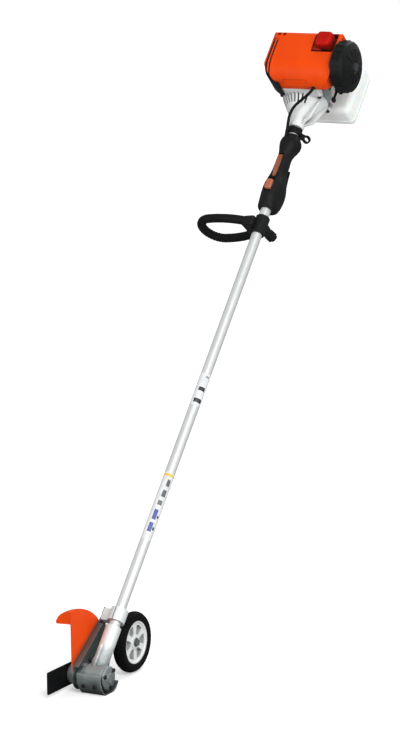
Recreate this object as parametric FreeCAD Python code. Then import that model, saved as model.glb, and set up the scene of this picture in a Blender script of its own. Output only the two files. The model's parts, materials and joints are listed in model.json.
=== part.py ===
"""Petrol lawn edger: bevel-gear cutting head, guide wheel, drive tube, handles and engine.

Frame: +X is the direction of travel, +Y the machine's left side, +Z up, millimetres.
The origin lies on the ground straight below the centre of the bevel gears.
Parts on the tube are drawn in the tube frame: x = height above the tube axis,
y = left, z = distance up the tube from the gear centre.
Parts on the blade spindle are drawn in the spindle frame: z = left, x = forward, y = down.
"""
import FreeCAD
import Part
import math
import os

os.makedirs("parts", exist_ok=True)

# ---------------------------------------------------------------- driving dimensions
TUBE_ANGLE = 48.6            # tube slope above the ground, degrees
GEAR_HEIGHT = 36.0           # gear centre above the ground
TUBE_RADIUS = 12.7
TUBE_WALL = 1.6
TUBE_START = 52.0            # lower end of the tube, distance from the gear centre
TUBE_END = 1532.0
SHAFT_RADIUS = 3.5
FIT = 0.05                   # clearance of fixed parts that slide over one another
RUNNING_FIT = 0.03           # radial clearance of turning parts

BLADE_LENGTH = 203.0
BLADE_WIDTH = 51.0
BLADE_THICKNESS = 2.8
BLADE_FACE = -62.4           # inner face of the blade, along Y
BLADE_BORE = 12.7

PINION_TEETH = 10
GEAR_TEETH = 14
GEAR_MODULE = 1.6
TOOTH_FACE = 5.0
TOOTH_TIP = 1.15
TOOTH_ROOT = 2.0
TOOTH_FILL = 0.72            # share of half a pitch that a tooth takes up

HOUSING_RADIUS = 27.5
HOUSING_LEFT = 30.0
HOUSING_RIGHT = -30.0
NECK_RADIUS = 18.0
NECK_END = 125.0
CAVITY_RADIUS = 18.0
BEARING_RADIUS = 11.0
SPINDLE_RADIUS = 5.0
SPINDLE_END = -82.0

PLATE_INNER = -39.0          # guard plate faces, along Y
PLATE_OUTER = -42.0
FLANGE_EDGE = -27.0
DEFLECTOR_WALL = 2.8
HOOD_CENTRE = (19.0, 38.7)   # centre of the hood's curve, forward and up
HOOD_RADIUS = 147.3
HOOD_FRONT = 5.0             # hood span in degrees forward and back of straight up
HOOD_BACK = -46.0

WHEEL_RADIUS = 70.0
WHEEL_X = -177.0
WHEEL_LEFT = 6.0
WHEEL_WIDTH = 28.0
RIM_RADIUS = 50.0
AXLE_RADIUS = 5.0
PIVOT_X = -52.0
PIVOT_Z = 60.0
ARM_OUTER = -38.5
ARM_INNER = -33.5
ARM_UP = 10.0                # travel of the wheel arm, degrees
ARM_DOWN = -15.0
SLOT_RADIUS = 45.0
STUD_RADIUS = 4.0

SCREW_RADIUS = 2.5           # the M5 screws used all over the machine
SCREW_HEAD = 4.6
SCREW_HEAD_HEIGHT = 3.4

LOOP_LEVEL = 1215.0          # place of the loop handle along the tube
LOOP_TURN = 100.0            # degrees from straight up towards the right side
LOOP_GRIP = 11.0
LOOP_HALF_WIDTH = 42.0
LOOP_REACH = 168.0
LOOP_KNOB_TURN = 17.0        # lean of the clamping knob from straight down towards the left

GRIP_START = 1262.0
GRIP_END = 1480.0
SWITCH_LEVEL = 1306.0
SWITCH_LENGTH = 26.0
SWITCH_TRAVEL = 8.0
TRIGGER_LEVEL = 1338.0
TRIGGER_DROP = -21.0
LOCKOUT_LEVEL = 1353.0
LOCKOUT_RISE = 18.0
CABLE_RADIUS = 3.6
CABLE_BENDS = (45.0, 60.0, 30.0)
LUG_LEVEL = 1484.0
LUG_REACH = 36.0
LUG_TURN = 140.0             # side of the carrying eye, degrees from straight up to the left

HOUSING_START = 1504.0       # engine, distances along the tube
CONE_END = 1578.0
FAN_END = 1614.0
CASE_END = 1676.0
FAN_BORE = 53.0
FAN_RADIUS = 57.0
CASE_RADIUS = 30.0
CRANK_RADIUS = 6.0
CYLINDER_LEVEL = 1647.0
CYLINDER_BORE = 17.0
CYLINDER_TOP = 104.0
SHROUD_FRONT = 1572.0
SHROUD_REAR = 1712.0
SHROUD_TOP = 125.0
SHROUD_LOW = 72.0
SHROUD_LEFT = 108.0
SHROUD_RIGHT = -84.0
SHROUD_WALL = 2.6
SHROUD_GROOVE = 1.3          # depth of the moulded grooves in the shroud
GUARD_EDGE = -33.0           # the muffler guard reaches round the front corner to here
FILTER_LEVEL = 1636.0
FILTER_HEIGHT = 82.0
FILTER_RADIUS = 62.0
FILTER_OUT = 151.0
FILTER_IN = 112.0
TANK_FRONT = 1596.0
TANK_REAR = 1745.0
TANK_LEFT = 95.0
TANK_RIGHT = -75.0
TANK_TOP = -46.0
TANK_BOTTOM = -112.0
STARTER_RADIUS = 50.0
STARTER_REAR = 1724.0
STARTER_SEAT = 1690.0
EAR_RADIUS = 59.0            # screw ears that join the clutch housing to the crankcase
EAR_START = 1582.0

X_AXIS = FreeCAD.Vector(1, 0, 0)
Y_AXIS = FreeCAD.Vector(0, 1, 0)
Z_AXIS = FreeCAD.Vector(0, 0, 1)
GEAR_CENTRE = FreeCAD.Vector(0, 0, GEAR_HEIGHT)
TUBE_FRAME = FreeCAD.Placement(GEAR_CENTRE, FreeCAD.Rotation(Y_AXIS, TUBE_ANGLE - 90.0))
SPINDLE_FRAME = FreeCAD.Placement(GEAR_CENTRE, FreeCAD.Rotation(X_AXIS, -90.0))


# ---------------------------------------------------------------- drawing helpers
def point(x, y, z):
    return FreeCAD.Vector(x, y, z)


def rod(radius, start, end):
    """A cylinder between two points."""
    return Part.makeCylinder(radius, (end - start).Length, start, end - start)


def ring(outer, inner, start, end):
    return rod(outer, start, end).cut(rod(inner, start, end))


def pin(radius, low, high, x=0.0, y=0.0):
    """A cylinder along z of the frame in use."""
    return rod(radius, point(x, y, low), point(x, y, high))


def block(low, high):
    """A box from its lowest to its highest corner."""
    size = [high[axis] - low[axis] for axis in range(3)]
    return Part.makeBox(*size, point(*low))


def soft_block(low, high, radius):
    """A box with every edge rounded."""
    box = block(low, high)
    return box.makeFillet(radius, box.Edges)


def turned(profile):
    """A solid of revolution about z from (z, radius) corners."""
    corners = [point(radius, 0, level) for level, radius in profile]
    face = Part.Face(Part.makePolygon(corners + corners[:1]))
    return face.revolve(point(0, 0, 0), Z_AXIS, 360)


def joined(first, *others):
    return first.fuse(list(others)).removeSplitter()


def moved(shape, x=0.0, y=0.0, z=0.0):
    result = shape.copy()
    result.translate(point(x, y, z))
    return result


def turned_copy(shape, degrees, centre=None, axis=Z_AXIS):
    result = shape.copy()
    result.rotate(centre or point(0, 0, 0), axis, degrees)
    return result


def polar(shape, count, centre=None, axis=Z_AXIS):
    """Copies of a shape spaced evenly round an axis."""
    return [turned_copy(shape, 360.0 * step / count, centre, axis) for step in range(count)]


def on_tube(shape):
    return shape.transformed(TUBE_FRAME.toMatrix())


def on_spindle(shape):
    return shape.transformed(SPINDLE_FRAME.toMatrix())


def outline_wire(start, pieces, closed=True):
    """A wire of lines and three-point arcs; each piece is (end,) or (middle, end)."""
    edges = []
    here = start
    for piece in pieces:
        if len(piece) == 2:
            edges.append(Part.Arc(here, piece[0], piece[1]).toShape())
        else:
            edges.append(Part.makeLine(here, piece[0]))
        here = piece[-1]
    if closed and (here - start).Length > FIT:
        edges.append(Part.makeLine(here, start))
    return Part.Wire(edges)


def oval(level, centre, half_height, half_width, power=2.4):
    """A closed rounded section of a handle, across the tube axis."""
    corners = []
    for step in range(16):
        angle = math.tau * step / 16
        rise = math.copysign(abs(math.cos(angle)) ** (2 / power), math.cos(angle))
        side = math.copysign(abs(math.sin(angle)) ** (2 / power), math.sin(angle))
        corners.append(point(centre + half_height * rise, half_width * side, level))
    curve = Part.BSplineCurve()
    curve.interpolate(corners, PeriodicFlag=True)
    return Part.Wire([curve.toShape()])


def hexagon(across_flats, low, high, x=0.0, y=0.0):
    radius = across_flats / math.sqrt(3)
    corners = []
    for step in range(7):
        angle = math.radians(60 * step)
        corners.append(point(x + radius * math.cos(angle), y + radius * math.sin(angle), low))
    return Part.Face(Part.makePolygon(corners)).extrude(point(0, 0, high - low))


def star_knob(radius, low, high, lobes=6):
    """A clamping knob with finger hollows, along z."""
    hollow = pin(radius * 0.32, low, high, x=radius * 1.12)
    body = pin(radius, low, high).cut(polar(hollow, lobes))
    return body.removeSplitter()


def screw(seat, direction, length):
    """A pan-head screw with a socket; the head sits on the seat and points away."""
    inward = point(*direction).normalize()
    head = rod(SCREW_HEAD, seat, seat - inward * SCREW_HEAD_HEIGHT)
    socket = rod(SCREW_HEAD * 0.45, seat - inward * 1.4, seat - inward * SCREW_HEAD_HEIGHT)
    shank = rod(SCREW_RADIUS, seat, seat + inward * length)
    return joined(head.cut(socket), shank)


def screw_hole(seat, direction, length):
    inward = point(*direction).normalize()
    return rod(SCREW_RADIUS + FIT, seat - inward * 30, seat + inward * (length + 1))


def save(name, shape):
    solids = shape.Solids
    result = solids[0] if len(solids) == 1 else Part.Compound(solids)
    result.exportStep("parts/" + name + ".step")


# ---------------------------------------------------------------- screw places
def spindle_point(radius, degrees, side):
    """A point round the spindle axis in the machine frame; 0 is forward, 90 is up."""
    angle = math.radians(degrees)
    return point(radius * math.cos(angle), side, GEAR_HEIGHT + radius * math.sin(angle))


def tube_point(level, height, side):
    return TUBE_FRAME.multVec(point(height, side, level))


COVER_SCREWS = [(spindle_point(22.2, angle, 35.0), (0, -1, 0), 14.0) for angle in (20, 140, 260)]
PLATE_SCREWS = [(spindle_point(23.0, angle, PLATE_OUTER), (0, 1, 0), 14.0) for angle in (80, 200, 320)]
CLAMP_SCREWS = [(tube_point(level, -9.0, PLATE_OUTER), (0, 1, 0), 16.0) for level in (143, 160)]
WALL_SCREWS = [
    (point(x, PLATE_OUTER - DEFLECTOR_WALL, z), (0, 1, 0), 8.0)
    for x, z in ((18.0, 63.5), (-24.0, 91.0), (-66.0, 118.0))
]
SKID_ARC = (point(39, 0, 50), point(35, 0, 22), point(17, 0, 0))
SKID_INWARD = (Part.Arc(*SKID_ARC).toShape().Curve.Center - SKID_ARC[1]).normalize()
SKID_SCREWS = [(SKID_ARC[1] + point(0, side, 0), tuple(SKID_INWARD), 12.0) for side in (-11.0, 17.0)]
GRIP_SCREWS = [
    (tube_point(level, height, 15.0), (0, -1, 0), 24.0)
    for level, height in ((1284.0, -27.0), (1316.0, -32.0), (1456.0, -21.5))
]


def round_tube(radius, degrees):
    """Height and side of a place round the tube axis; 0 is straight up, 90 is left."""
    angle = math.radians(degrees)
    return radius * math.cos(angle), radius * math.sin(angle)


UP_TUBE = TUBE_FRAME.Rotation.multVec(Z_AXIS)
EAR_PLACES = [round_tube(EAR_RADIUS, angle) for angle in (60, 120, 240, 300)]
EAR_SCREWS = [(tube_point(EAR_START, *place), tuple(UP_TUBE), 14.0) for place in EAR_PLACES]
STARTER_PLACES = [round_tube(42.5, angle) for angle in (60, 180, 300)]
STARTER_SCREWS = [(tube_point(STARTER_SEAT, *place), tuple(-UP_TUBE), 18.0) for place in STARTER_PLACES]
ALL_SCREWS = (COVER_SCREWS + PLATE_SCREWS + CLAMP_SCREWS + WALL_SCREWS + SKID_SCREWS + GRIP_SCREWS
              + EAR_SCREWS + STARTER_SCREWS)


def without_screws(shape, places):
    return shape.cut([screw_hole(*place) for place in places])


# ---------------------------------------------------------------- bevel gears
PITCH_RADII = (GEAR_MODULE * PINION_TEETH / 2, GEAR_MODULE * GEAR_TEETH / 2)
CONE_DISTANCE = math.hypot(*PITCH_RADII)
SMALL_END = 1 - TOOTH_FACE / CONE_DISTANCE


def bevel_wheel(teeth, own_radius, mate_radius, phase):
    """Teeth and root cone along z with the cone apex at the origin."""
    slope = math.atan2(own_radius, mate_radius)
    along = point(math.sin(slope), 0, math.cos(slope))
    outward = point(math.cos(slope), 0, -math.sin(slope))
    half_pitch = math.pi * GEAR_MODULE / 4 * TOOTH_FILL
    flank = math.tan(math.radians(20))
    sections = []
    for scale in (1.0, SMALL_END):
        corners = []
        foot = -TOOTH_ROOT - 0.3
        for depth, side in ((foot, -1), (foot, 1), (TOOTH_TIP, 1), (TOOTH_TIP, -1)):
            half = half_pitch - depth * flank
            place = along * CONE_DISTANCE + outward * depth + Y_AXIS * (side * half)
            corners.append(place * scale)
        sections.append(Part.makePolygon(corners + corners[:1]))
    tooth = turned_copy(Part.makeLoft(sections, True, True), phase)
    root = along * CONE_DISTANCE - outward * TOOTH_ROOT
    cone = turned([
        (root.z * SMALL_END, 0), (root.z * SMALL_END, root.x * SMALL_END),
        (root.z, root.x), (root.z + 2.5, root.x), (root.z + 2.5, 0),
    ])
    return joined(cone, *polar(tooth, teeth)), root


def make_bevel_pinion():
    wheel, root = bevel_wheel(PINION_TEETH, PITCH_RADII[0], PITCH_RADII[1], 90.0)
    shaft = turned([(root.z + 2, 0), (root.z + 2, 7), (23.5, 7), (23.5, 5), (55, 5), (55, 0)])
    socket = pin(SHAFT_RADIUS + FIT, 38, 56)
    return on_tube(joined(wheel, shaft).cut(socket))


def make_bevel_gear():
    gap_direction = 180.0 + TUBE_ANGLE
    phase = gap_direction + 180.0 / GEAR_TEETH
    wheel, root = bevel_wheel(GEAR_TEETH, PITCH_RADII[1], PITCH_RADII[0], phase)
    hub = pin(8, root.z + 2, 17.5)
    return on_spindle(joined(wheel, hub).cut(pin(4, 0, 20)))


# ---------------------------------------------------------------- gearbox
def neck_profile(radius):
    return [(0, 0), (0, radius + 2), (34, radius + 2), (48, radius), (NECK_END - 2, radius),
            (NECK_END, radius - 2), (NECK_END, 0)]


def make_gear_housing():
    barrel = turned([
        (HOUSING_RIGHT, 0), (HOUSING_RIGHT, 20), (-27, 24), (-14, HOUSING_RADIUS),
        (25, HOUSING_RADIUS), (HOUSING_LEFT, 25.5), (HOUSING_LEFT, 0),
    ])
    bosses = []
    for seat, _, _ in PLATE_SCREWS:
        bosses.append(rod(5.5, point(seat.x, PLATE_INNER, seat.z), point(seat.x, -20, seat.z)))
    for seat, _, _ in SKID_SCREWS:
        bosses.append(rod(6.5, seat + SKID_INWARD * 3.7, seat + SKID_INWARD * 15))
    foot = soft_block((-9, -15, 3), (9, 17, 18), 1.5)
    rib = on_tube(soft_block((-24, -3, 8), (24, 3, 70), 2))
    outside = joined(on_spindle(barrel), on_tube(turned(neck_profile(NECK_RADIUS))), foot, rib, *bosses)
    cavity = on_spindle(pin(CAVITY_RADIUS, -13, HOUSING_LEFT + 1))
    output_bore = on_spindle(pin(BEARING_RADIUS, HOUSING_RIGHT - 12, -12))
    input_bore = on_tube(pin(BEARING_RADIUS, 0, TUBE_START))
    tube_bore = on_tube(pin(TUBE_RADIUS + FIT, TUBE_START - 1, NECK_END + 1))
    body = outside.cut([cavity, output_bore, input_bore, tube_bore])
    return without_screws(body, COVER_SCREWS + PLATE_SCREWS + SKID_SCREWS)


def make_bearing_cover():
    cover = turned([(22, 0), (22, CAVITY_RADIUS - 0.1), (30, CAVITY_RADIUS - 0.1), (30, 27),
                    (33, 27), (35, 25), (35, 12), (38, 10), (38, 0)])
    cover = cover.cut(pin(BEARING_RADIUS, 21, 29))
    return without_screws(on_spindle(cover), COVER_SCREWS)


def bearing(bore, low, high):
    """A sealed ball bearing with a shallow groove on both faces."""
    outer, inner = BEARING_RADIUS - 2, bore + 2
    return turned([
        (low, bore), (low, inner), (low + 0.6, inner), (low + 0.6, outer), (low, outer),
        (low, BEARING_RADIUS), (high, BEARING_RADIUS), (high, outer), (high - 0.6, outer),
        (high - 0.6, inner), (high, inner), (high, bore),
    ])


def make_gearbox_bearings():
    spindle = [bearing(4 + RUNNING_FIT, 22, 29), bearing(SPINDLE_RADIUS + RUNNING_FIT, -20.5, -14.5)]
    pinion = [bearing(5 + RUNNING_FIT, low, low + 6) for low in (24.5, 32)]
    return Part.Compound([on_spindle(b) for b in spindle] + [on_tube(b) for b in pinion])


def make_output_spindle():
    return on_spindle(turned([
        (SPINDLE_END, 0), (SPINDLE_END, 4.2), (SPINDLE_END + 1, SPINDLE_RADIUS), (-14, SPINDLE_RADIUS),
        (-14, 7), (-11, 7), (-11, 4), (17.5, 4), (17.5, 6), (21.5, 6), (21.5, 4), (28.5, 4), (28.5, 0),
    ]))


# ---------------------------------------------------------------- blade stack
def make_blade_collar():
    face = BLADE_FACE
    return on_spindle(turned([
        (-33, SPINDLE_RADIUS), (-33, 13), (-45, 14), (-47.5, 20), (-50, 22), (face + 1, 22), (face, 21),
        (face, BLADE_BORE - FIT), (face - 2.4, BLADE_BORE - FIT), (face - 2.4, SPINDLE_RADIUS),
    ]))


def make_edger_blade():
    half_length, half_width = BLADE_LENGTH / 2, BLADE_WIDTH / 2
    outer = BLADE_FACE - BLADE_THICKNESS
    blade = block((-half_length, -half_width, outer), (half_length, half_width, BLADE_FACE))
    corners = [edge for edge in blade.Edges if abs(edge.tangentAt(0).z) > 0.9]
    blade = blade.makeChamfer(2.0, corners)
    return on_spindle(blade.cut(pin(BLADE_BORE, BLADE_FACE - 5, BLADE_FACE + 1)))


def make_clamping_washer():
    top = BLADE_FACE - BLADE_THICKNESS
    return on_spindle(turned([
        (top, SPINDLE_RADIUS), (top, 20), (top - 2, 20), (top - 4.5, 13), (top - 4.5, SPINDLE_RADIUS),
    ]))


def make_blade_nut():
    top = BLADE_FACE - BLADE_THICKNESS - 4.5
    nut = hexagon(17, top - 9, top)
    flange = turned([(top, 0), (top, 11), (top - 1.6, 11), (top - 3, 9), (top - 3, 0)])
    return on_spindle(joined(nut, flange).cut(pin(SPINDLE_RADIUS, top - 12, top + 1)))


# ---------------------------------------------------------------- skid, guard plate, deflector
def skid_curve(offset):
    """Profile of the skid in the XZ plane, moved inward by the offset."""
    top, middle, bottom = SKID_ARC
    return (
        top - X_AXIS * offset, middle + SKID_INWARD * offset, bottom + Z_AXIS * offset,
        point(-17, 0, offset), point(-33 + offset, 0, 8 + offset), point(-42 + offset, 0, 20),
    )


def make_skid_plate():
    low, high = skid_curve(0), skid_curve(3)
    wire = outline_wire(low[0], [
        (low[1], low[2]), (low[3],), (low[4], low[5]),
        (high[5],), (high[4], high[3]), (high[2],), (high[1], high[0]),
    ])
    plate = moved(Part.Face(wire).extrude(point(0, 60, 0)), y=-26)
    return without_screws(plate, SKID_SCREWS)


FLANGE_FOOT = point(31, 0, 62)
FLANGE_HEAD = point(-98, 0, 146.7)


def arc_slot(low_angle, high_angle, width, low, high):
    """A curved slot round the arm pivot, for the depth stud; 180 degrees points back."""

    def at(radius, degrees):
        angle = math.radians(degrees)
        return point(PIVOT_X + radius * math.cos(angle), low, PIVOT_Z + radius * math.sin(angle))

    middle = (low_angle + high_angle) / 2
    inner, outer = SLOT_RADIUS - width, SLOT_RADIUS + width
    wire = outline_wire(at(inner, low_angle), [
        (at(inner, middle), at(inner, high_angle)),
        (at(SLOT_RADIUS, high_angle + math.degrees(width / SLOT_RADIUS)), at(outer, high_angle)),
        (at(outer, middle), at(outer, low_angle)),
        (at(SLOT_RADIUS, low_angle - math.degrees(width / SLOT_RADIUS)), at(inner, low_angle)),
    ])
    return Part.Face(wire).extrude(point(0, high - low, 0))


STUD_REST = 180.0 - math.degrees(math.atan2(WHEEL_RADIUS - PIVOT_Z, PIVOT_X - WHEEL_X))


def make_guard_plate():
    side = PLATE_OUTER
    corners = [(31, 34), (31, 62), (-98, 146.7), (-112, 164), (-126, 152), (-113, 126), (-114, 52),
               (-98, 40), (-30, 20)]
    web = Part.Face(Part.makePolygon([point(x, side, z) for x, z in corners + corners[:1]]))
    web = web.extrude(point(0, PLATE_INNER - PLATE_OUTER, 0))
    disc = rod(34, point(0, side, GEAR_HEIGHT), point(0, PLATE_INNER, GEAR_HEIGHT))
    run = FLANGE_HEAD - FLANGE_FOOT
    flange = Part.makeBox(run.Length - 22, FLANGE_EDGE - PLATE_OUTER, 3)
    flange.rotate(point(0, 0, 0), Y_AXIS, -math.degrees(math.atan2(run.z, run.x)))
    flange.translate(FLANGE_FOOT + point(0, side, 0))
    plate = joined(web, disc, flange)
    collar_hole = rod(17, point(0, side - 1, GEAR_HEIGHT), point(0, 0, GEAR_HEIGHT))
    pivot_hole = rod(AXLE_RADIUS + FIT, point(PIVOT_X, side - 1, PIVOT_Z), point(PIVOT_X, 0, PIVOT_Z))
    top, bottom = STUD_REST - ARM_UP - 2, STUD_REST - ARM_DOWN + 2
    slot = arc_slot(top, bottom, STUD_RADIUS + 0.3, side - 1, PLATE_INNER + 1)
    plate = plate.cut([collar_hole, pivot_hole, slot])
    return without_screws(plate, PLATE_SCREWS + CLAMP_SCREWS + WALL_SCREWS)


def make_neck_clamp():
    low, high = 136.0, 168.0
    band = ring(20, TUBE_RADIUS + FIT, point(0, 0, low), point(0, 0, high))
    ear = soft_block((-15, PLATE_INNER, low + 1), (4, -10, high - 1), 1.5)
    ear = ear.cut(pin(TUBE_RADIUS + FIT, low - 1, high + 1))
    split = block((12, -1, low - 1), (21, 1, high + 1))
    return without_screws(on_tube(joined(band, ear).cut(split)), CLAMP_SCREWS)


def hood_point(side, radius, degrees):
    angle = math.radians(degrees)
    forward = HOOD_CENTRE[0] + radius * math.sin(angle)
    return point(forward, side, HOOD_CENTRE[1] + radius * math.cos(angle))


def make_deflector():
    near = PLATE_OUTER
    far = near - DEFLECTOR_WALL
    edge = HOOD_RADIUS - 1
    wall_wire = outline_wire(point(30, near, 49.5), [
        (hood_point(near, edge, HOOD_FRONT),),
        (hood_point(near, edge, (HOOD_FRONT + HOOD_BACK) / 2), hood_point(near, edge, HOOD_BACK)),
        (point(-80, near, 115),),
    ])
    wall = Part.Face(wall_wire).extrude(point(0, far - near, 0))
    outer = [(near, HOOD_RADIUS), (-71, HOOD_RADIUS - 8.3), (-84, HOOD_RADIUS - 26.8)]
    inner = [(-81.2, HOOD_RADIUS - 26.8), (-69.5, HOOD_RADIUS - 10.6), (near, HOOD_RADIUS - 2.8)]
    pivot = point(HOOD_CENTRE[0], 0, HOOD_CENTRE[1])

    def at(pair):
        return hood_point(pair[0], pair[1], HOOD_FRONT)

    over = (at(outer[1]), at(outer[2]))
    shell = outline_wire(at(outer[0]), [over, (at(inner[0]),), (at(inner[1]), at(inner[2]))])
    hood = Part.Face(shell).revolve(pivot, Y_AXIS, HOOD_BACK - HOOD_FRONT)
    lip = outline_wire(at(outer[0]), [over, (at((-82, HOOD_RADIUS - 31)),), (at((near, HOOD_RADIUS - 29)),)])
    front_lip = Part.Face(lip).revolve(pivot, Y_AXIS, -1.2)
    return without_screws(joined(wall, hood, front_lip), WALL_SCREWS)


# ---------------------------------------------------------------- guide wheel
def make_wheel_arm():
    start = point(PIVOT_X, ARM_OUTER, PIVOT_Z)
    end = point(WHEEL_X, ARM_OUTER, WHEEL_RADIUS)
    thickness = point(0, ARM_INNER - ARM_OUTER, 0)
    run = end - start
    across = point(-run.z, 0, run.x).normalize()
    bar = Part.Face(Part.makePolygon([
        start + across * 13, end + across * 11, end - across * 11, start - across * 13,
        start + across * 13,
    ])).extrude(thickness)
    ends = [rod(13, start, start + thickness), rod(14, end, end + thickness)]
    boss = rod(11, end, end + point(0, 15.5, 0))
    arm = joined(bar, boss, *ends)
    stud = start + run.normalize() * SLOT_RADIUS
    return arm.cut([
        rod(AXLE_RADIUS + FIT, start - thickness, start + thickness * 2),
        rod(AXLE_RADIUS, end - thickness, end + thickness * 5),
        rod(STUD_RADIUS + RUNNING_FIT, stud - thickness, stud + thickness * 2),
    ])


def bolt_y(x, z, head_low, head_high, across, tip, radius):
    """A hexagon bolt along Y: head between two levels and shank to the tip."""
    drop = GEAR_HEIGHT - z
    head = hexagon(across, head_low, head_high, x=x, y=drop)
    shank = pin(radius, min(tip, head_low), max(tip, head_high), x=x, y=drop)
    return on_spindle(joined(head, shank))


def make_pivot_bolt():
    seat, tip, radius = ARM_INNER + 2, ARM_INNER + 7, AXLE_RADIUS - RUNNING_FIT
    bolt = bolt_y(PIVOT_X, PIVOT_Z, PLATE_OUTER - 5, PLATE_OUTER, 15, tip, radius)
    washer = ring(10, AXLE_RADIUS - 1, point(PIVOT_X, seat - 1.6, PIVOT_Z), point(PIVOT_X, seat, PIVOT_Z))
    nut = bolt_y(PIVOT_X, PIVOT_Z, seat, tip, 15, seat, radius)
    return joined(bolt, washer, nut)


def make_depth_knob():
    run = point(WHEEL_X - PIVOT_X, 0, WHEEL_RADIUS - PIVOT_Z).normalize() * SLOT_RADIUS
    x, z = PIVOT_X + run.x, PIVOT_Z + run.z
    knob = star_knob(12, ARM_INNER + 0.3, ARM_INNER + 10)
    stud = pin(STUD_RADIUS, PLATE_OUTER - 0.3, ARM_INNER + 2)
    head = pin(7, PLATE_OUTER - 4, PLATE_OUTER - 0.3)
    return moved(on_spindle(joined(knob, stud, head)), x=x, z=z - GEAR_HEIGHT)


def make_axle_bolt():
    return bolt_y(WHEEL_X, WHEEL_RADIUS, ARM_OUTER - 6, ARM_OUTER, 16, WHEEL_LEFT - 4, AXLE_RADIUS)


def make_axle_nut():
    seat = WHEEL_LEFT - 3.5
    cap = on_wheel(joined(hexagon(14, seat, WHEEL_LEFT + 2), pin(10, seat, seat + 1.5)))
    thread = rod(AXLE_RADIUS, point(WHEEL_X, -40, WHEEL_RADIUS), point(WHEEL_X, seat - 0.5, WHEEL_RADIUS))
    return cap.cut(thread)


def on_wheel(shape):
    """From a frame along z at the wheel centre to the machine frame."""
    return moved(on_spindle(shape), x=WHEEL_X, z=WHEEL_RADIUS - GEAR_HEIGHT)


def make_wheel_rim():
    low, high = WHEEL_LEFT - WHEEL_WIDTH, WHEEL_LEFT
    blank = turned([
        (low + 1, AXLE_RADIUS + RUNNING_FIT), (low + 1, 15), (low + 8, 17), (low + 9, 44),
        (low + 3, 46), (low + 3, RIM_RADIUS - 1), (low + 5, RIM_RADIUS),
        (high - 5, RIM_RADIUS), (high - 3, RIM_RADIUS - 1), (high - 3, 46),
        (high - 6, 43), (high - 7, 17), (high - 4, 15), (high - 4, AXLE_RADIUS + RUNNING_FIT),
    ])
    pocket = outline_wire(point(20, -5, 0), [
        (point(18, 0, 0), point(20, 5, 0)), (point(37, 13, 0),), (point(40.5, 0, 0), point(37, -13, 0)),
    ])
    pocket = moved(Part.Face(pocket).extrude(point(0, 0, 12)), z=low + 12)
    return on_wheel(blank.cut(polar(pocket, 6)))


def make_tyre():
    low, high = WHEEL_LEFT - WHEEL_WIDTH, WHEEL_LEFT
    shoulder = WHEEL_RADIUS - 9
    wire = outline_wire(point(RIM_RADIUS - 1, 0, low + 3), [
        (point(RIM_RADIUS + 4, 0, low + 0.5), point(shoulder, 0, low)),
        (point(WHEEL_RADIUS - 2.5, 0, low + 2.8), point(WHEEL_RADIUS, 0, low + 8)),
        (point(WHEEL_RADIUS, 0, high - 8),),
        (point(WHEEL_RADIUS - 2.5, 0, high - 2.8), point(shoulder, 0, high)),
        (point(RIM_RADIUS + 4, 0, high - 0.5), point(RIM_RADIUS - 1, 0, high - 3)),
        (point(RIM_RADIUS, 0, high - 5),), (point(RIM_RADIUS, 0, low + 5),),
    ])
    tyre = Part.Face(wire).revolve(point(0, 0, 0), Z_AXIS, 360)
    grooves = [ring(WHEEL_RADIUS + 1, WHEEL_RADIUS - 2.2, point(0, 0, level), point(0, 0, level + 1.8))
               for level in (low + 9, low + 13.1, low + 17.2)]
    return on_wheel(tyre.cut(grooves))


# ---------------------------------------------------------------- tube, shaft, loop handle
def make_drive_tube():
    inner = TUBE_RADIUS - TUBE_WALL
    return on_tube(ring(TUBE_RADIUS, inner, point(0, 0, TUBE_START), point(0, 0, TUBE_END)))


def make_drive_shaft():
    return on_tube(pin(SHAFT_RADIUS, 40, 1549))


def make_shaft_bushes():
    bushes = []
    for step in range(6):
        level = 150 + step * 260
        bushes.append(ring(TUBE_RADIUS - TUBE_WALL, SHAFT_RADIUS + RUNNING_FIT,
                           point(0, 0, level), point(0, 0, level + 24)))
    return on_tube(Part.Compound(bushes))


def loop_point(out, across):
    angle = math.radians(LOOP_TURN)
    return point(
        out * math.cos(angle) + across * math.sin(angle),
        -out * math.sin(angle) + across * math.cos(angle),
        LOOP_LEVEL,
    )


def make_loop_solid():
    half, reach = LOOP_HALF_WIDTH, LOOP_REACH
    centre = reach - half
    root, foot = loop_point(14, 19), loop_point(14, -19)
    side, other = loop_point(centre, half), loop_point(centre, -half)
    lead, back = loop_point(62, 36), loop_point(62, -36)
    path = outline_wire(root, [(lead, side), (loop_point(reach, 0), other), (back, foot)], closed=False)
    tangent = path.Edges[0].tangentAt(path.Edges[0].FirstParameter)
    circle = Part.Wire([Part.makeCircle(LOOP_GRIP, root, tangent)])
    return path.makePipeShell([circle], True, False, 2)


def to_loop_knob(shape):
    """From a frame along z on the knob's axis to the tube frame."""
    lying = turned_copy(shape, -90, axis=Y_AXIS)
    return moved(turned_copy(lying, -LOOP_KNOB_TURN), z=LOOP_LEVEL)


def make_loop_clamp(loop):
    sleeve = turned([(1190, 0), (1190, 16), (1192, 17.5), (1238, 17.5), (1240, 16), (1240, 0)])
    root = soft_block((-31, -36, LOOP_LEVEL - 14), (31, -3, LOOP_LEVEL + 14), 6)
    root = turned_copy(root, LOOP_TURN - 90.0, axis=-Z_AXIS)
    saddle = to_loop_knob(turned([(0, 0), (0, 15), (16, 15), (34, 11), (34, 0)]))
    body = joined(sleeve, root, saddle)
    gap = block((-24, -1, 1180), (-12, 1, 1204))
    stud_hole = to_loop_knob(pin(4 + RUNNING_FIT, TUBE_RADIUS, 44))
    return on_tube(body.cut([pin(TUBE_RADIUS + FIT, 1180, 1250), loop, stud_hole, gap]))


def make_loop_knob():
    knob = joined(star_knob(13, 34.4, 52), pin(4, 15, 35), pin(8, 52, 56))
    return on_tube(to_loop_knob(knob))


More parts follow.
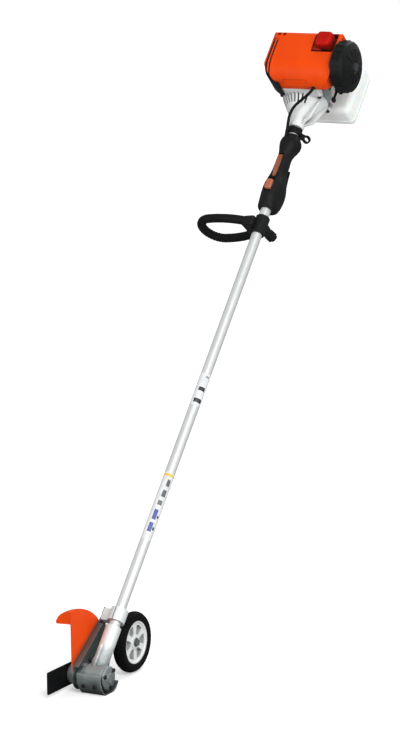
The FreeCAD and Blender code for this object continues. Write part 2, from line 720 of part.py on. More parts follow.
# ---------------------------------------------------------------- control handle
GRIP_SECTIONS = (
    (GRIP_START, -3, 20, 20), (1275, -6, 29, 24), (1300, -8, 36, 25), (1335, -6, 33, 24),
    (1362, -2, 24, 18.5), (1395, 0, 20, 17), (1422, 0, 20, 17), (1446, -3, 26, 23.5),
    (1466, -5, 26, 24), (GRIP_END, -4, 18, 17),
)


def grip_solid():
    return Part.makeLoft([oval(*section) for section in GRIP_SECTIONS], True, False)


def cross_pin(radius, height, level, half):
    """A pin across the tube, at a height and a distance along it."""
    return rod(radius, point(height, -half, level), point(height, half, level))


def grip_pockets():
    return [
        pin(TUBE_RADIUS + FIT, GRIP_START - 1, GRIP_END + 1),
        block((21, -8.4, SWITCH_LEVEL - 6), (50, 8.4, SWITCH_LEVEL + SWITCH_LENGTH + SWITCH_TRAVEL + 3)),
        block((15, -5.3, LOCKOUT_LEVEL - 8), (50, 5.3, LOCKOUT_LEVEL + 64)),
        block((-60, -7.4, TRIGGER_LEVEL - 11), (-14, 7.4, TRIGGER_LEVEL + 74)),
        cross_pin(2 + RUNNING_FIT, TRIGGER_DROP, TRIGGER_LEVEL, 12),
        cross_pin(1.5 + RUNNING_FIT, LOCKOUT_RISE, LOCKOUT_LEVEL, 9),
        rod(4.6, point(17.1, -6.8, GRIP_END - 26), point(19.8, -9.6, GRIP_END + 3)),
    ]


def make_handle_half(solid, side):
    """Half of the control handle; side is 1 for left and -1 for right."""
    low, high = (0, 60) if side > 0 else (-60, 0)
    half = solid.cut(grip_pockets()).common(block((-60, low, 1200), (60, high, 1500)))
    half = without_screws(on_tube(half), GRIP_SCREWS)
    if side > 0:
        wells = [rod(SCREW_HEAD + 0.5, seat, seat - point(*way) * 15) for seat, way, _ in GRIP_SCREWS]
        half = half.cut(wells)
    return half


def make_stop_switch():
    level = SWITCH_LEVEL
    button = soft_block((23, -8, level), (34.5, 8, level + SWITCH_LENGTH), 3)
    ridges = [cross_pin(1.2, 34.6, level + 5 + 4 * step, 5) for step in range(5)]
    return on_tube(joined(button, *ridges))


def lever_plate(outline, half_width):
    """A lever cut from a plate in the height-level plane of the tube frame."""
    start, pieces = outline
    wire = outline_wire(start, pieces)
    return Part.Face(wire).extrude(point(0, half_width * 2, 0))


def make_throttle_trigger():
    level, drop = TRIGGER_LEVEL, TRIGGER_DROP
    outline = (point(drop + 4, -7, level - 5), [
        (point(drop - 2, -7, level - 9.5), point(drop - 12, -7, level - 6)),
        (point(drop - 21, -7, level + 6), point(drop - 23, -7, level + 20)),
        (point(drop - 18, -7, level + 40), point(drop - 15, -7, level + 59)),
        (point(drop - 12, -7, level + 60.5), point(drop - 10.5, -7, level + 57)),
        (point(drop - 10, -7, level + 36), point(drop + 3.5, -7, level + 12)),
    ])
    body = lever_plate(outline, 7)
    return on_tube(joined(body, cross_pin(2, drop, level, 11.5)))


def make_trigger_lockout():
    level, rise = LOCKOUT_LEVEL, LOCKOUT_RISE
    outline = (point(rise - 2.2, -5, level - 1), [
        (point(rise, -5, level - 4), point(rise + 2.5, -5, level - 2)),
        (point(rise + 9, -5, level + 24), point(rise + 9, -5, level + 50)),
        (point(rise + 7, -5, level + 56), point(rise + 3, -5, level + 57)),
    ])
    return on_tube(joined(lever_plate(outline, 5), cross_pin(1.5, rise, level, 8.5)))


def bent_wire(places, radii):
    """Straight lines through the places, with a round bend of the given radius at each corner."""
    edges = []
    start = places[0]
    for before, corner, after, radius in zip(places, places[1:], places[2:], radii):
        arrive = (corner - before).normalize()
        leave = (after - corner).normalize()
        half = arrive.getAngle(leave) / 2
        near = corner - arrive * (radius * math.tan(half))
        far = corner + leave * (radius * math.tan(half))
        middle = corner + (leave - arrive).normalize() * (radius / math.cos(half) - radius)
        edges += [Part.makeLine(start, near), Part.Arc(near, middle, far).toShape()]
        start = far
    edges.append(Part.makeLine(start, places[-1]))
    return Part.Wire(edges)


def cable_pipe(radius):
    """The cable hose from inside the handle, over the cone and into the shroud."""
    places = [point(17.3, -7, 1456), point(20.6, -10.4, 1490), point(46, -6, 1528),
              point(80, 57, 1562), point(82, 60, 1622)]
    path = bent_wire(places, CABLE_BENDS)
    circle = Part.Wire([Part.makeCircle(radius, places[0], places[1] - places[0])])
    return path.makePipeShell([circle], True, False)


def make_harness_clamp():
    low, high = LUG_LEVEL, LUG_LEVEL + 16
    centre = (low + high) / 2
    band = ring(18.5, TUBE_RADIUS + FIT, point(0, 0, low), point(0, 0, high))
    eye = joined(block((14, -4, low + 1), (34, 4, high - 1)),
                 rod(10, point(LUG_REACH, -4, centre), point(LUG_REACH, 4, centre)))
    eye = eye.cut([rod(6.5, point(LUG_REACH, -5, centre), point(LUG_REACH, 5, centre)),
                   pin(TUBE_RADIUS + FIT, low - 1, high + 1)])
    return on_tube(turned_copy(joined(band, eye), LUG_TURN))


# ---------------------------------------------------------------- clutch and crank
def make_clutch_housing():
    shell = turned([
        (HOUSING_START, TUBE_RADIUS + FIT), (HOUSING_START, 17.5), (HOUSING_START + 2, 19), (1528, 21),
        (1552, 38), (1572, 52), (CONE_END, 56), (CONE_END + 4, FAN_RADIUS), (1590, FAN_RADIUS),
        (1590, FAN_BORE), (1578, 51), (1556, 36), (1549, 30), (1536, 15), (1534.5, TUBE_RADIUS + FIT),
    ])
    ears = [pin(6.5, EAR_START, 1590, x=height, y=side) for height, side in EAR_PLACES]
    wells = [pin(SCREW_HEAD + 0.5, CONE_END - 12, EAR_START, x=x, y=y) for x, y in EAR_PLACES]
    fin = Part.Face(Part.makePolygon([
        point(0, 17, 1512), point(0, 40, 1526), point(0, 58, 1572), point(0, 54, 1586), point(0, 36, 1560),
        point(0, 17, 1512),
    ])).extrude(point(5, 0, 0))
    fins = [turned_copy(moved(fin, x=-2.5), angle) for angle in (-25, 12)]
    apron = soft_block((40, -37, SHROUD_FRONT + 0.6), (SHROUD_LOW - 0.6, 62, 1589), 3)
    body = joined(shell, apron, *ears, *fins)
    slot = soft_block((20, -2.2, 1556), (58, 2.2, 1575), 2.0)
    slots = [turned_copy(slot, angle) for angle in range(-66, 31, 12)]
    slots += [turned_copy(slot, angle) for angle in range(150, 247, 12)]
    inside = turned([(1536, 0), (1536, 15), (1549, 30), (1556, 36), (1578, 51),
                     (1591, FAN_BORE), (1591, 0)])
    return without_screws(on_tube(body.cut(slots + wells + [inside])), EAR_SCREWS)


def make_clutch_drum():
    return on_tube(turned([
        (1538, SHAFT_RADIUS), (1538, 8), (1551, 8), (1551, 28), (1572, 28), (1572, 26), (1554, 26),
        (1554, 0), (1549, 0), (1549, SHAFT_RADIUS),
    ]))


def make_clutch_shoes():
    lining = ring(25.2, 13, point(0, 0, 1556), point(0, 0, 1571))
    shoe = lining.common(block((-30, 0.8, 1550), (30, 30, 1580)))
    arm = block((-4, 5, 1558), (4, 14, 1569)).cut(pin(CRANK_RADIUS, 1550, 1580))
    shoe = joined(shoe, arm)
    return on_tube(Part.Compound([shoe, turned_copy(shoe, 180)]))


def make_crankshaft():
    main = [pin(CRANK_RADIUS, 1556, 1640), pin(CRANK_RADIUS, 1654, 1690)]
    webs = []
    for low in (1634, 1652):
        web = pin(22, low, low + 8).cut(block((4, 9, low - 1), (30, 30, low + 9)))
        webs.append(web.cut(block((4, -30, low - 1), (30, -9, low + 9))))
    throw = pin(5, 1634, 1660, x=13)
    return on_tube(joined(main[0], main[1], throw, *webs))


def make_flywheel():
    plate = turned([(1582, CRANK_RADIUS), (1582, 13), (1597, 16), (1597, 47), (1602, 47), (1602, 44),
                    (1609, 44), (1609, 18), (1611, CRANK_RADIUS)])
    vane = soft_block((18, -1, 1584), (46, 1, 1598), 0.6)
    return on_tube(joined(plate, *polar(vane, 16)))


def make_crankcase():
    ring_part = ring(FAN_RADIUS, FAN_BORE, point(0, 0, 1590), point(0, 0, FAN_END))
    wall = ring(FAN_RADIUS, CRANK_RADIUS + RUNNING_FIT, point(0, 0, FAN_END), point(0, 0, FAN_END + 4))
    barrel = pin(CASE_RADIUS, FAN_END + 4, CASE_END)
    deck = soft_block((10, -26, 1621), (34, 26, 1673), 3)
    feet = [soft_block((-56, side - 5, 1626), (-20, side + 5, 1670), 2) for side in (-18, 18)]
    bosses = [pin(6, FAN_END, CASE_END + 2, x=height, y=side) for height, side in STARTER_PLACES]
    bosses += [pin(6.5, 1590, 1602, x=height, y=side) for height, side in EAR_PLACES]
    body = joined(ring_part, wall, barrel, deck, *feet)
    rib = soft_block((26, -1.5, FAN_END + 2), (52, 1.5, 1640), 1)
    ribs = [turned_copy(rib, angle) for angle in (100, 140, 220, 260)]
    body = joined(body, *ribs, *bosses)
    chamber = pin(24.5, FAN_END + 8, CASE_END - 4)
    crank_bore = pin(CRANK_RADIUS + RUNNING_FIT, FAN_END - 1, CASE_END + 1)
    mouth = rod(CYLINDER_BORE + 2, point(10, 0, CYLINDER_LEVEL), point(36, 0, CYLINDER_LEVEL))
    tank_gap = block((-120, -200, 1500), (TANK_TOP + 1, 200, 1800))
    fan_room = pin(FAN_BORE, 1580, FAN_END)
    body = body.cut([chamber, crank_bore, mouth, tank_gap, fan_room])
    return without_screws(on_tube(body), EAR_SCREWS + STARTER_SCREWS)


def make_cylinder():
    level = CYLINDER_LEVEL
    barrel = rod(24, point(34, 0, level), point(CYLINDER_TOP, 0, level))
    spigot = rod(CYLINDER_BORE + 1.9, point(27, 0, level), point(35, 0, level))
    flange = soft_block((34, -26, level - 26), (39, 26, level + 26), 2)
    fins = []
    for step in range(10):
        low = 43 + 6 * step
        fins.append(block((low, -34, level - 29), (low + 2, 34, level + 27)))
    exhaust = rod(9, point(66, -39, level), point(66, -20, level))
    intake = rod(9, point(76, 20, level - 2), point(76, 37, level - 2))
    body = barrel.fuse([spigot, flange, exhaust, intake] + fins)
    bore = rod(CYLINDER_BORE, point(20, 0, level), point(91, 0, level))
    ports = [rod(6, point(66, -45, level), point(66, -10, level)),
             rod(6, point(76, 10, level - 2), point(76, 40, level - 2))]
    plug = rod(5 + FIT, plug_place(-3), plug_place(30))
    seat = rod(11.3, plug_place(13.5), plug_place(40))
    return on_tube(body.cut([bore, plug, seat] + ports))


def make_piston():
    level = CYLINDER_LEVEL
    crown = rod(CYLINDER_BORE - 0.05, point(60, 0, level), point(86, 0, level))
    hollow = rod(CYLINDER_BORE - 3, point(58, 0, level), point(81, 0, level))
    grooves = [ring(CYLINDER_BORE + 1, CYLINDER_BORE - 1.2, point(low, 0, level), point(low + 1.2, 0, level))
               for low in (79.5, 82.5)]
    gudgeon = rod(4, point(69, 0, level - 15.5), point(69, 0, level + 15.5))
    return on_tube(joined(crown.cut([hollow] + grooves), gudgeon))


# ---------------------------------------------------------------- plug, muffler, carburettor
def plug_place(distance):
    """Along the spark plug axis, from the combustion chamber outwards."""
    lean = math.radians(50)
    return point(88 + distance * math.cos(lean), 6 + distance * math.sin(lean), CYLINDER_LEVEL + 14)


def make_spark_plug():
    thread = rod(5, plug_place(5), plug_place(14))
    metal = rod(8, plug_place(14), plug_place(20))
    insulator = rod(4.5, plug_place(20), plug_place(34))
    tip = rod(2.5, plug_place(34), plug_place(40))
    return on_tube(joined(thread, metal, insulator, tip))


def make_plug_boot():
    sleeve = rod(8.5, plug_place(22), plug_place(40))
    elbow = soft_block((106, 32, CYLINDER_LEVEL + 8), (121, 62, CYLINDER_LEVEL + 42), 4)
    cap = soft_block((107, 50, CYLINDER_LEVEL + 12), (142, 90, CYLINDER_LEVEL + 53), 9)
    core = [rod(4.5, plug_place(10), plug_place(34)), rod(2.5, plug_place(30), plug_place(40)),
            rod(8, plug_place(10), plug_place(22))]
    return on_tube(joined(sleeve, elbow, cap).cut(core))


def make_muffler():
    can = soft_block((52, -77, 1630), (98, -40, 1684), 7)
    seam = soft_block((70, -79, 1628), (73, -39.2, 1686), 1.2)
    outlet = rod(6, point(62, -62, 1680), point(62, -62, 1690))
    tail = rod(4.5, point(62, -62, 1678), point(62, -62, 1692))
    return on_tube(joined(can, seam, outlet).cut(tail))


def shroud_plan(grow):
    """Outline of the engine shroud seen from above, grown outward, at height zero."""
    right, left = SHROUD_RIGHT - grow, SHROUD_LEFT + grow
    front, rear = SHROUD_FRONT - grow, SHROUD_REAR + grow
    return outline_wire(point(0, -38, front), [
        (point(0, left - 34, front),),
        (point(0, left - 9, front + 9), point(0, left, front + 32)),
        (point(0, left, rear - 6),), (point(0, left - 6, rear),),
        (point(0, right + 22, rear),),
        (point(0, right + 6.5, rear - 6.5), point(0, right, rear - 22)),
        (point(0, right, front + 66),),
        (point(0, right + 14, front + 27), point(0, -38, front)),
    ])


def shroud_block(grow, low=SHROUD_LOW):
    """The rounded engine shroud as a full block, grown outward by a distance."""
    plan = Part.Face(shroud_plan(grow)).extrude(point(200, 0, 0))
    front, rear, top = SHROUD_FRONT - grow, SHROUD_REAR + grow, SHROUD_TOP + grow
    side = outline_wire(point(low, -150, front), [
        (point(top - 42, -150, front),),
        (point(top - 15, -150, front + 16), point(top, -150, front + 56)),
        (point(top, -150, rear - 24),),
        (point(top - 6, -150, rear - 6), point(top - 22, -150, rear)),
        (point(low, -150, rear),),
    ])
    side = Part.Face(side).extrude(point(0, 300, 0))
    right, left = SHROUD_RIGHT - grow, SHROUD_LEFT + grow
    front_view = outline_wire(point(low, right, 1500), [
        (point(top - 24, right, 1500),),
        (point(top - 7, right + 7, 1500), point(top, right + 24, 1500)),
        (point(top, left - 24, 1500),),
        (point(top - 3, left - 8, 1500), point(top - 10, left, 1500)),
        (point(low, left, 1500),),
    ])
    front_view = Part.Face(front_view).extrude(point(0, 0, 300))
    return plan.common(side).common(front_view)


def shroud_groove(low, high):
    """A shallow groove in the outside of the shroud, inside a window."""
    skin = shroud_block(0).cut(shroud_block(-SHROUD_GROOVE))
    return soft_block(low, high, 1.5).common(skin)


def make_engine_shroud():
    shell = shroud_block(0).cut(shroud_block(-SHROUD_WALL, SHROUD_LOW - 5))
    tub = soft_block((97.6, 37.4, 1644.4), (SHROUD_TOP + 20, 102.6, 1705.6), 6).common(shroud_block(0))
    recess = soft_block((100.2, 40, 1647), (140, 100, 1703), 5)
    boot_gate = soft_block((102, 30, 1651), (SHROUD_TOP - 3, 46, 1693), 3)
    side_mouth = rod(44, filter_point(SHROUD_LEFT - 8), filter_point(SHROUD_LEFT + 5))
    vents = [soft_block((104, -110, 1650 + 12 * step), (116, -64, 1656 + 12 * step), 2) for step in range(4)]
    notch = [soft_block((109, -66 + 14 * step, 1694), (135, -57 + 14 * step, 1706), 2) for step in range(2)]
    grooves = [
        shroud_groove((89, -24, 1560), (100, 42, 1610)),
        shroud_groove((86, -71, 1560), (140, -65, 1686)),
        shroud_groove((86, -61, 1560), (140, -57, 1686)),
    ]
    cuts = [recess, boot_gate, side_mouth, cable_pipe(CABLE_RADIUS + 0.8)] + vents + notch + grooves
    return on_tube(shell.fuse(tub).cut(cuts))


def make_muffler_guard():
    """A black tray under the muffler whose wall wraps the lower rim of the shroud."""
    floor, rim, height = 48, 96, 3
    outer = moved(Part.Face(shroud_plan(4.2)).extrude(point(rim - floor, 0, 0)), x=floor)
    inner = Part.Face(shroud_plan(0.4)).extrude(point(rim, 0, 0))
    beyond = block((0, -46, 1500), (rim, 150, 1800))
    guard = outer.cut([moved(inner, x=floor + height), inner.common(beyond)])
    guard = guard.common(block((0, -130, 1560), (120, GUARD_EDGE, 1800)))
    louvre = [soft_block((64 + 9 * step, -120, 1644), (68 + 9 * step, -80, 1690), 1.8) for step in range(3)]
    return on_tube(guard.cut(louvre))


def make_carburettor():
    level = CYLINDER_LEVEL - 2
    body = soft_block((62, 38, level - 18), (92, 66, level + 18), 2.5)
    throat = rod(7, point(76, 30, level), point(76, 70, level))
    bulb_well = rod(10.5, point(55, 52, level), point(69, 52, level))
    neck = ring(13, 10.5, point(58, 52, level), point(64, 52, level))
    wheel = rod(9, point(92, 52, level - 8), point(97, 52, level - 8))
    return on_tube(joined(body, neck, wheel).cut([throat, bulb_well]))


def make_primer_bulb():
    level = CYLINDER_LEVEL - 2
    lower_half = block((40, 30, level - 20), (58, 80, level + 20))
    dome = Part.makeSphere(9.5, point(58, 52, level)).common(lower_half)
    return on_tube(joined(dome, rod(9.5, point(57, 52, level), point(63, 52, level))))


# ---------------------------------------------------------------- air filter
def filter_point(side, up=0.0, along=0.0):
    return point(FILTER_HEIGHT + up, side, FILTER_LEVEL + along)


def make_filter_base():
    face = FILTER_IN - 0.4
    plate = rod(FILTER_RADIUS - 4, filter_point(face - 2.8), filter_point(face))
    duct = rod(12, filter_point(66.3, -6, 9), filter_point(face - 2, -6, 9))
    pedestal = rod(6, filter_point(face - 1), filter_point(face + 4.4))
    bracket = soft_block((26, face - 12, 1592), (48, face - 2.5, 1620), 2)
    body = joined(plate, duct, pedestal, bracket)
    bores = [rod(8, filter_point(60, -6, 9), filter_point(face + 5, -6, 9)),
             rod(3, filter_point(face - 4), filter_point(face + 14)),
             rod(3 + RUNNING_FIT, point(36, face - 16, 1600), point(36, face + 4, 1600))]
    return on_tube(body.cut(bores))


def make_air_filter():
    low, high = FILTER_IN + 1.5, FILTER_OUT - 15
    hollow = rod(16, filter_point(low - 1), filter_point(high + 1))
    element = rod(44, filter_point(low), filter_point(high)).cut(hollow)
    pleat = block((FILTER_HEIGHT + 41.5, low + 1, FILTER_LEVEL - 0.9),
                  (FILTER_HEIGHT + 46, high - 1, FILTER_LEVEL + 0.9))
    pleats = polar(pleat, 36, filter_point(0), Y_AXIS)
    return on_tube(element.cut(pleats))


def make_filter_cover():
    radius = FILTER_RADIUS
    rim, crown = FILTER_OUT - 12, FILTER_OUT - 1.5
    shell = turned([
        (FILTER_IN, radius - 3), (FILTER_IN, radius), (rim - 4, radius), (rim - 1, radius - 1),
        (rim + 2, radius - 5), (rim + 6, radius - 18), (crown, 16), (crown - 4, 13), (crown - 4, 3.2),
        (crown - 7, 3.2), (crown - 7, 16), (rim + 3, radius - 19), (rim - 1, radius - 8),
        (rim - 5, radius - 3),
    ])
    rib = soft_block((radius - 1.5, -2, FILTER_IN + 2), (radius + 2, 2, rim - 4), 1.2)
    face_rib = Part.Face(Part.makePolygon([
        point(19, -1.2, crown - 2), point(19, -1.2, crown + 0.8), point(radius - 19, -1.2, rim + 7.6),
        point(radius - 15, -1.2, rim + 5), point(radius - 15, -1.2, rim + 3.5), point(19, -1.2, crown - 2),
    ])).extrude(point(0, 2.4, 0))
    cover = joined(shell, *polar(rib, 20), *polar(face_rib, 12))
    return on_filter(cover)


def on_filter(shape):
    """From a frame along z on the filter axis to the machine frame."""
    upright = turned_copy(shape, -90, axis=X_AXIS)
    return on_tube(moved(upright, x=FILTER_HEIGHT, z=FILTER_LEVEL))


def make_cover_screw():
    knob = star_knob(11, FILTER_OUT - 5.3, FILTER_OUT + 2, 8)
    stem = pin(3 - RUNNING_FIT, FILTER_IN - 1, FILTER_OUT - 5)
    return on_filter(joined(knob, stem))


def make_choke_lever():
    seat = FILTER_IN - 12.6
    hub = rod(8, point(36, seat - 6.8, 1600), point(36, seat, 1600))
    shaft = rod(3, point(36, seat - 4, 1600), point(36, seat + 8.5, 1600))
    arm = soft_block((32, seat - 6, 1572), (40, seat - 1.5, 1602), 2)
    tab = soft_block((30, seat - 8, 1564), (42, seat + 0.5, 1574), 2)
    return on_tube(joined(hub, shaft, arm, tab))


# ---------------------------------------------------------------- tank and starter
def make_fuel_tank():
    tank = soft_block((TANK_BOTTOM, TANK_RIGHT, TANK_FRONT), (TANK_TOP, TANK_LEFT, TANK_REAR), 15)
    saddle = pin(FAN_RADIUS + 2, TANK_FRONT - 10, TANK_REAR + 10)
    inside = soft_block((TANK_BOTTOM + 2.5, TANK_RIGHT + 2.5, TANK_FRONT + 2.5),
                        (TANK_TOP - 2.5, TANK_LEFT - 2.5, TANK_REAR - 2.5), 12.5)
    inside = inside.cut(pin(FAN_RADIUS + 4.5, TANK_FRONT - 10, TANK_REAR + 10))
    filler = rod(17, point(-82, TANK_RIGHT + 6, 1640), point(-82, TANK_RIGHT - 7, 1640))
    mouth = rod(14, point(-82, TANK_RIGHT + 10, 1640), point(-82, TANK_RIGHT - 8, 1640))
    return on_tube(joined(tank.cut(saddle), filler).cut([inside, mouth]))


def make_fuel_cap():
    cap = turned([(0, 0), (0, 20.5), (2, 22), (13, 22), (15, 20), (15, 0)])
    grip = soft_block((-18, -4, 13), (18, 4, 20), 2)
    flute = pin(2.0, -1, 16, x=23)
    cap = joined(cap.cut(polar(flute, 18)), grip).cut(turned([(-1, 0), (-1, 17.3), (5, 17.3), (5, 0)]))
    plug = pin(13.6, -6, 6)
    cap = turned_copy(joined(cap, plug), 90, axis=X_AXIS)
    return on_tube(moved(cap, x=-82, y=TANK_RIGHT - 2.5, z=1640))


def make_starter_cover():
    low, high = CASE_END + 2, STARTER_REAR
    radius = STARTER_RADIUS
    bowl = turned([
        (low, radius - 3), (low, radius), (high - 14, radius), (high - 4, radius - 8),
        (high, radius - 18), (high, 0), (high - 3, 0), (high - 3, radius - 19),
        (high - 6.5, radius - 11), (high - 15, radius - 3),
    ])
    post = pin(4, high - 20, high - 2)
    vent = block((16, -2, high - 8), (35, 2, high + 3))
    guide = rod(8, point(-14, -58, high - 24), point(-14, -45, high - 24))
    bosses = [pin(6, low, high - 10, x=height, y=side) for height, side in STARTER_PLACES]
    wells = [pin(SCREW_HEAD + 0.5, STARTER_SEAT, high, x=x, y=y) for x, y in STARTER_PLACES]
    body = bowl.fuse([post, guide] + bosses)
    bore = rod(2.6, point(-14, -60, high - 24), point(-14, -30, high - 24))
    body = body.cut(polar(vent, 14) + wells + [bore])
    return without_screws(on_tube(body), STARTER_SCREWS)


def make_starter_pulley():
    low = STARTER_REAR - 31
    pulley = turned([
        (low, 4 + RUNNING_FIT), (low, 34), (low + 3, 34), (low + 4.5, 27), (low + 7.5, 27),
        (low + 9, 34), (low + 12, 34), (low + 12, 4 + RUNNING_FIT),
    ])
    return on_tube(pulley.cut(polar(pin(5, low - 1, low + 20, x=18), 5)))


def make_starter_grip():
    high = STARTER_REAR - 24
    bar = soft_block((-38, -74, high - 8), (10, -60, high + 8), 6)
    cone = rod(6, point(-14, -62, high), point(-14, -58.6, high))
    knot = rod(2, point(-14, -62, high), point(-14, -45, high))
    return on_tube(joined(bar, cone, knot))


# ---------------------------------------------------------------- everything
def build():
    loop = make_loop_solid()
    grip = grip_solid()
    machine = {
        "gear_housing": make_gear_housing(),
        "bearing_cover": make_bearing_cover(),
        "gearbox_bearings": make_gearbox_bearings(),
        "bevel_pinion": make_bevel_pinion(),
        "bevel_gear": make_bevel_gear(),
        "output_spindle": make_output_spindle(),
        "blade_collar": make_blade_collar(),
        "edger_blade": make_edger_blade(),
        "clamping_washer": make_clamping_washer(),
        "blade_nut": make_blade_nut(),
        "skid_plate": make_skid_plate(),
        "guard_plate": make_guard_plate(),
        "neck_clamp": make_neck_clamp(),
        "deflector": make_deflector(),
        "wheel_arm": make_wheel_arm(),
        "pivot_bolt": make_pivot_bolt(),
        "depth_knob": make_depth_knob(),
        "axle_bolt": make_axle_bolt(),
        "axle_nut": make_axle_nut(),
        "wheel_rim": make_wheel_rim(),
        "tyre": make_tyre(),
        "drive_tube": make_drive_tube(),
        "drive_shaft": make_drive_shaft(),
        "shaft_bushes": make_shaft_bushes(),
        "loop_handle": on_tube(loop),
        "loop_clamp": make_loop_clamp(loop),
        "loop_knob": make_loop_knob(),
        "handle_left": make_handle_half(grip, 1),
        "handle_right": make_handle_half(grip, -1),
        "throttle_trigger": make_throttle_trigger(),
        "trigger_lockout": make_trigger_lockout(),
        "stop_switch": make_stop_switch(),
        "throttle_cable": on_tube(cable_pipe(CABLE_RADIUS)),
        "harness_clamp": make_harness_clamp(),
        "case_screws": Part.Compound([screw(*place) for place in ALL_SCREWS]),
        "clutch_housing": make_clutch_housing(),
        "clutch_drum": make_clutch_drum(),
        "clutch_shoes": make_clutch_shoes(),
        "crankshaft": make_crankshaft(),
        "flywheel": make_flywheel(),
        "crankcase": make_crankcase(),
        "cylinder": make_cylinder(),
        "piston": make_piston(),
        "spark_plug": make_spark_plug(),
        "plug_boot": make_plug_boot(),
        "muffler": make_muffler(),
        "muffler_guard": make_muffler_guard(),
        "engine_shroud": make_engine_shroud(),
        "carburettor": make_carburettor(),
        "primer_bulb": make_primer_bulb(),
        "filter_base": make_filter_base(),
        "air_filter": make_air_filter(),
        "filter_cover": make_filter_cover(),
        "cover_screw": make_cover_screw(),
        "choke_lever": make_choke_lever(),
        "fuel_tank": make_fuel_tank(),
        "fuel_cap": make_fuel_cap(),
        "starter_cover": make_starter_cover(),
        "starter_pulley": make_starter_pulley(),
        "starter_grip": make_starter_grip(),
    }
    for name, shape in machine.items():
        save(name, shape)


build()
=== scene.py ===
"""Looks of the petrol lawn edger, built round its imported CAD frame.

Metres throughout, +X forward, +Y left, +Z up. Pieces on the drive tube are drawn in the
tube frame: x = height above the tube axis, y = left, z = distance up the tube from the
gear centre.
"""
import bpy
import bmesh
import json
import math
from mathutils import Matrix, Vector


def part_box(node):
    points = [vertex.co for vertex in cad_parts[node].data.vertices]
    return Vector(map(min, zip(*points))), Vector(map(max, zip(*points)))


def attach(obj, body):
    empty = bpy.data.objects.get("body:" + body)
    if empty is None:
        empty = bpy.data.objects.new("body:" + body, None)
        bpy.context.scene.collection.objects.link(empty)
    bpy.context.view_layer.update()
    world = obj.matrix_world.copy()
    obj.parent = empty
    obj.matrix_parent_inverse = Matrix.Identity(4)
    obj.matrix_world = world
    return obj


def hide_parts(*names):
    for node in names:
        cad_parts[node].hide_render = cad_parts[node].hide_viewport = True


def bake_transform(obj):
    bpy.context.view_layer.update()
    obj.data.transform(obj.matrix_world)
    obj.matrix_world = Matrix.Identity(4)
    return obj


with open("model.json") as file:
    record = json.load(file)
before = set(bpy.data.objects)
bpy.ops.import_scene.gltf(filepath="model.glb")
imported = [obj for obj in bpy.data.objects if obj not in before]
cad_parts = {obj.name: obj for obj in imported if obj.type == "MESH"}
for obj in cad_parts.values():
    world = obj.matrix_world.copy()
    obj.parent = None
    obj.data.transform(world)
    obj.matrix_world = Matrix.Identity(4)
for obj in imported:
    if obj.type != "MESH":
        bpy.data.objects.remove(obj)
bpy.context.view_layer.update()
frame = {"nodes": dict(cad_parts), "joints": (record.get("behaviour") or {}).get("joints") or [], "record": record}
MM = 0.001


def joint(name):
    return next(j for j in frame["joints"] if j["name"] == name)


GEAR_CENTRE = Vector(joint("drive_spin")["pos_m"])
UP_TUBE = Vector(joint("drive_spin")["axis"]).normalized()
LEFT = Vector((0.0, 1.0, 0.0))
ABOVE = LEFT.cross(UP_TUBE).normalized()
TUBE_FRAME = Matrix((
    (ABOVE.x, LEFT.x, UP_TUBE.x, GEAR_CENTRE.x),
    (ABOVE.y, LEFT.y, UP_TUBE.y, GEAR_CENTRE.y),
    (ABOVE.z, LEFT.z, UP_TUBE.z, GEAR_CENTRE.z),
    (0, 0, 0, 1)))

TUBE_SKIN = 12.7                    # radius of the drive tube, millimetres


# ---------------------------------------------------------------- material helpers
CLOUD = (0.35, 0.7)                 # the stretch of a noise's values that a blend runs over
SMUDGE = (0.3, 0.75)
STREAK = (0.3, 0.7)
EDGE_COSINES = (0.995, 0.86)        # smooth against flat normal: open face, sharp edge
HIDDEN_SHARES = (0.35, 0.9)         # open sky over a point: deep in a gap, out in the open
# painted shade: the dark colour laid into corners and gaps
PAINTED_SHADE_COLOUR = (0.035, 0.026, 0.02)
DUST_COLOUR = (0.30, 0.27, 0.24)
GRIP_RIDGES = math.pi / 0.0032      # a ridge every 3.2 mm up the handle, and across it
TANK_PAINTED_GLOW = 0.13                    # painted glow: emission that brightens the milky wall
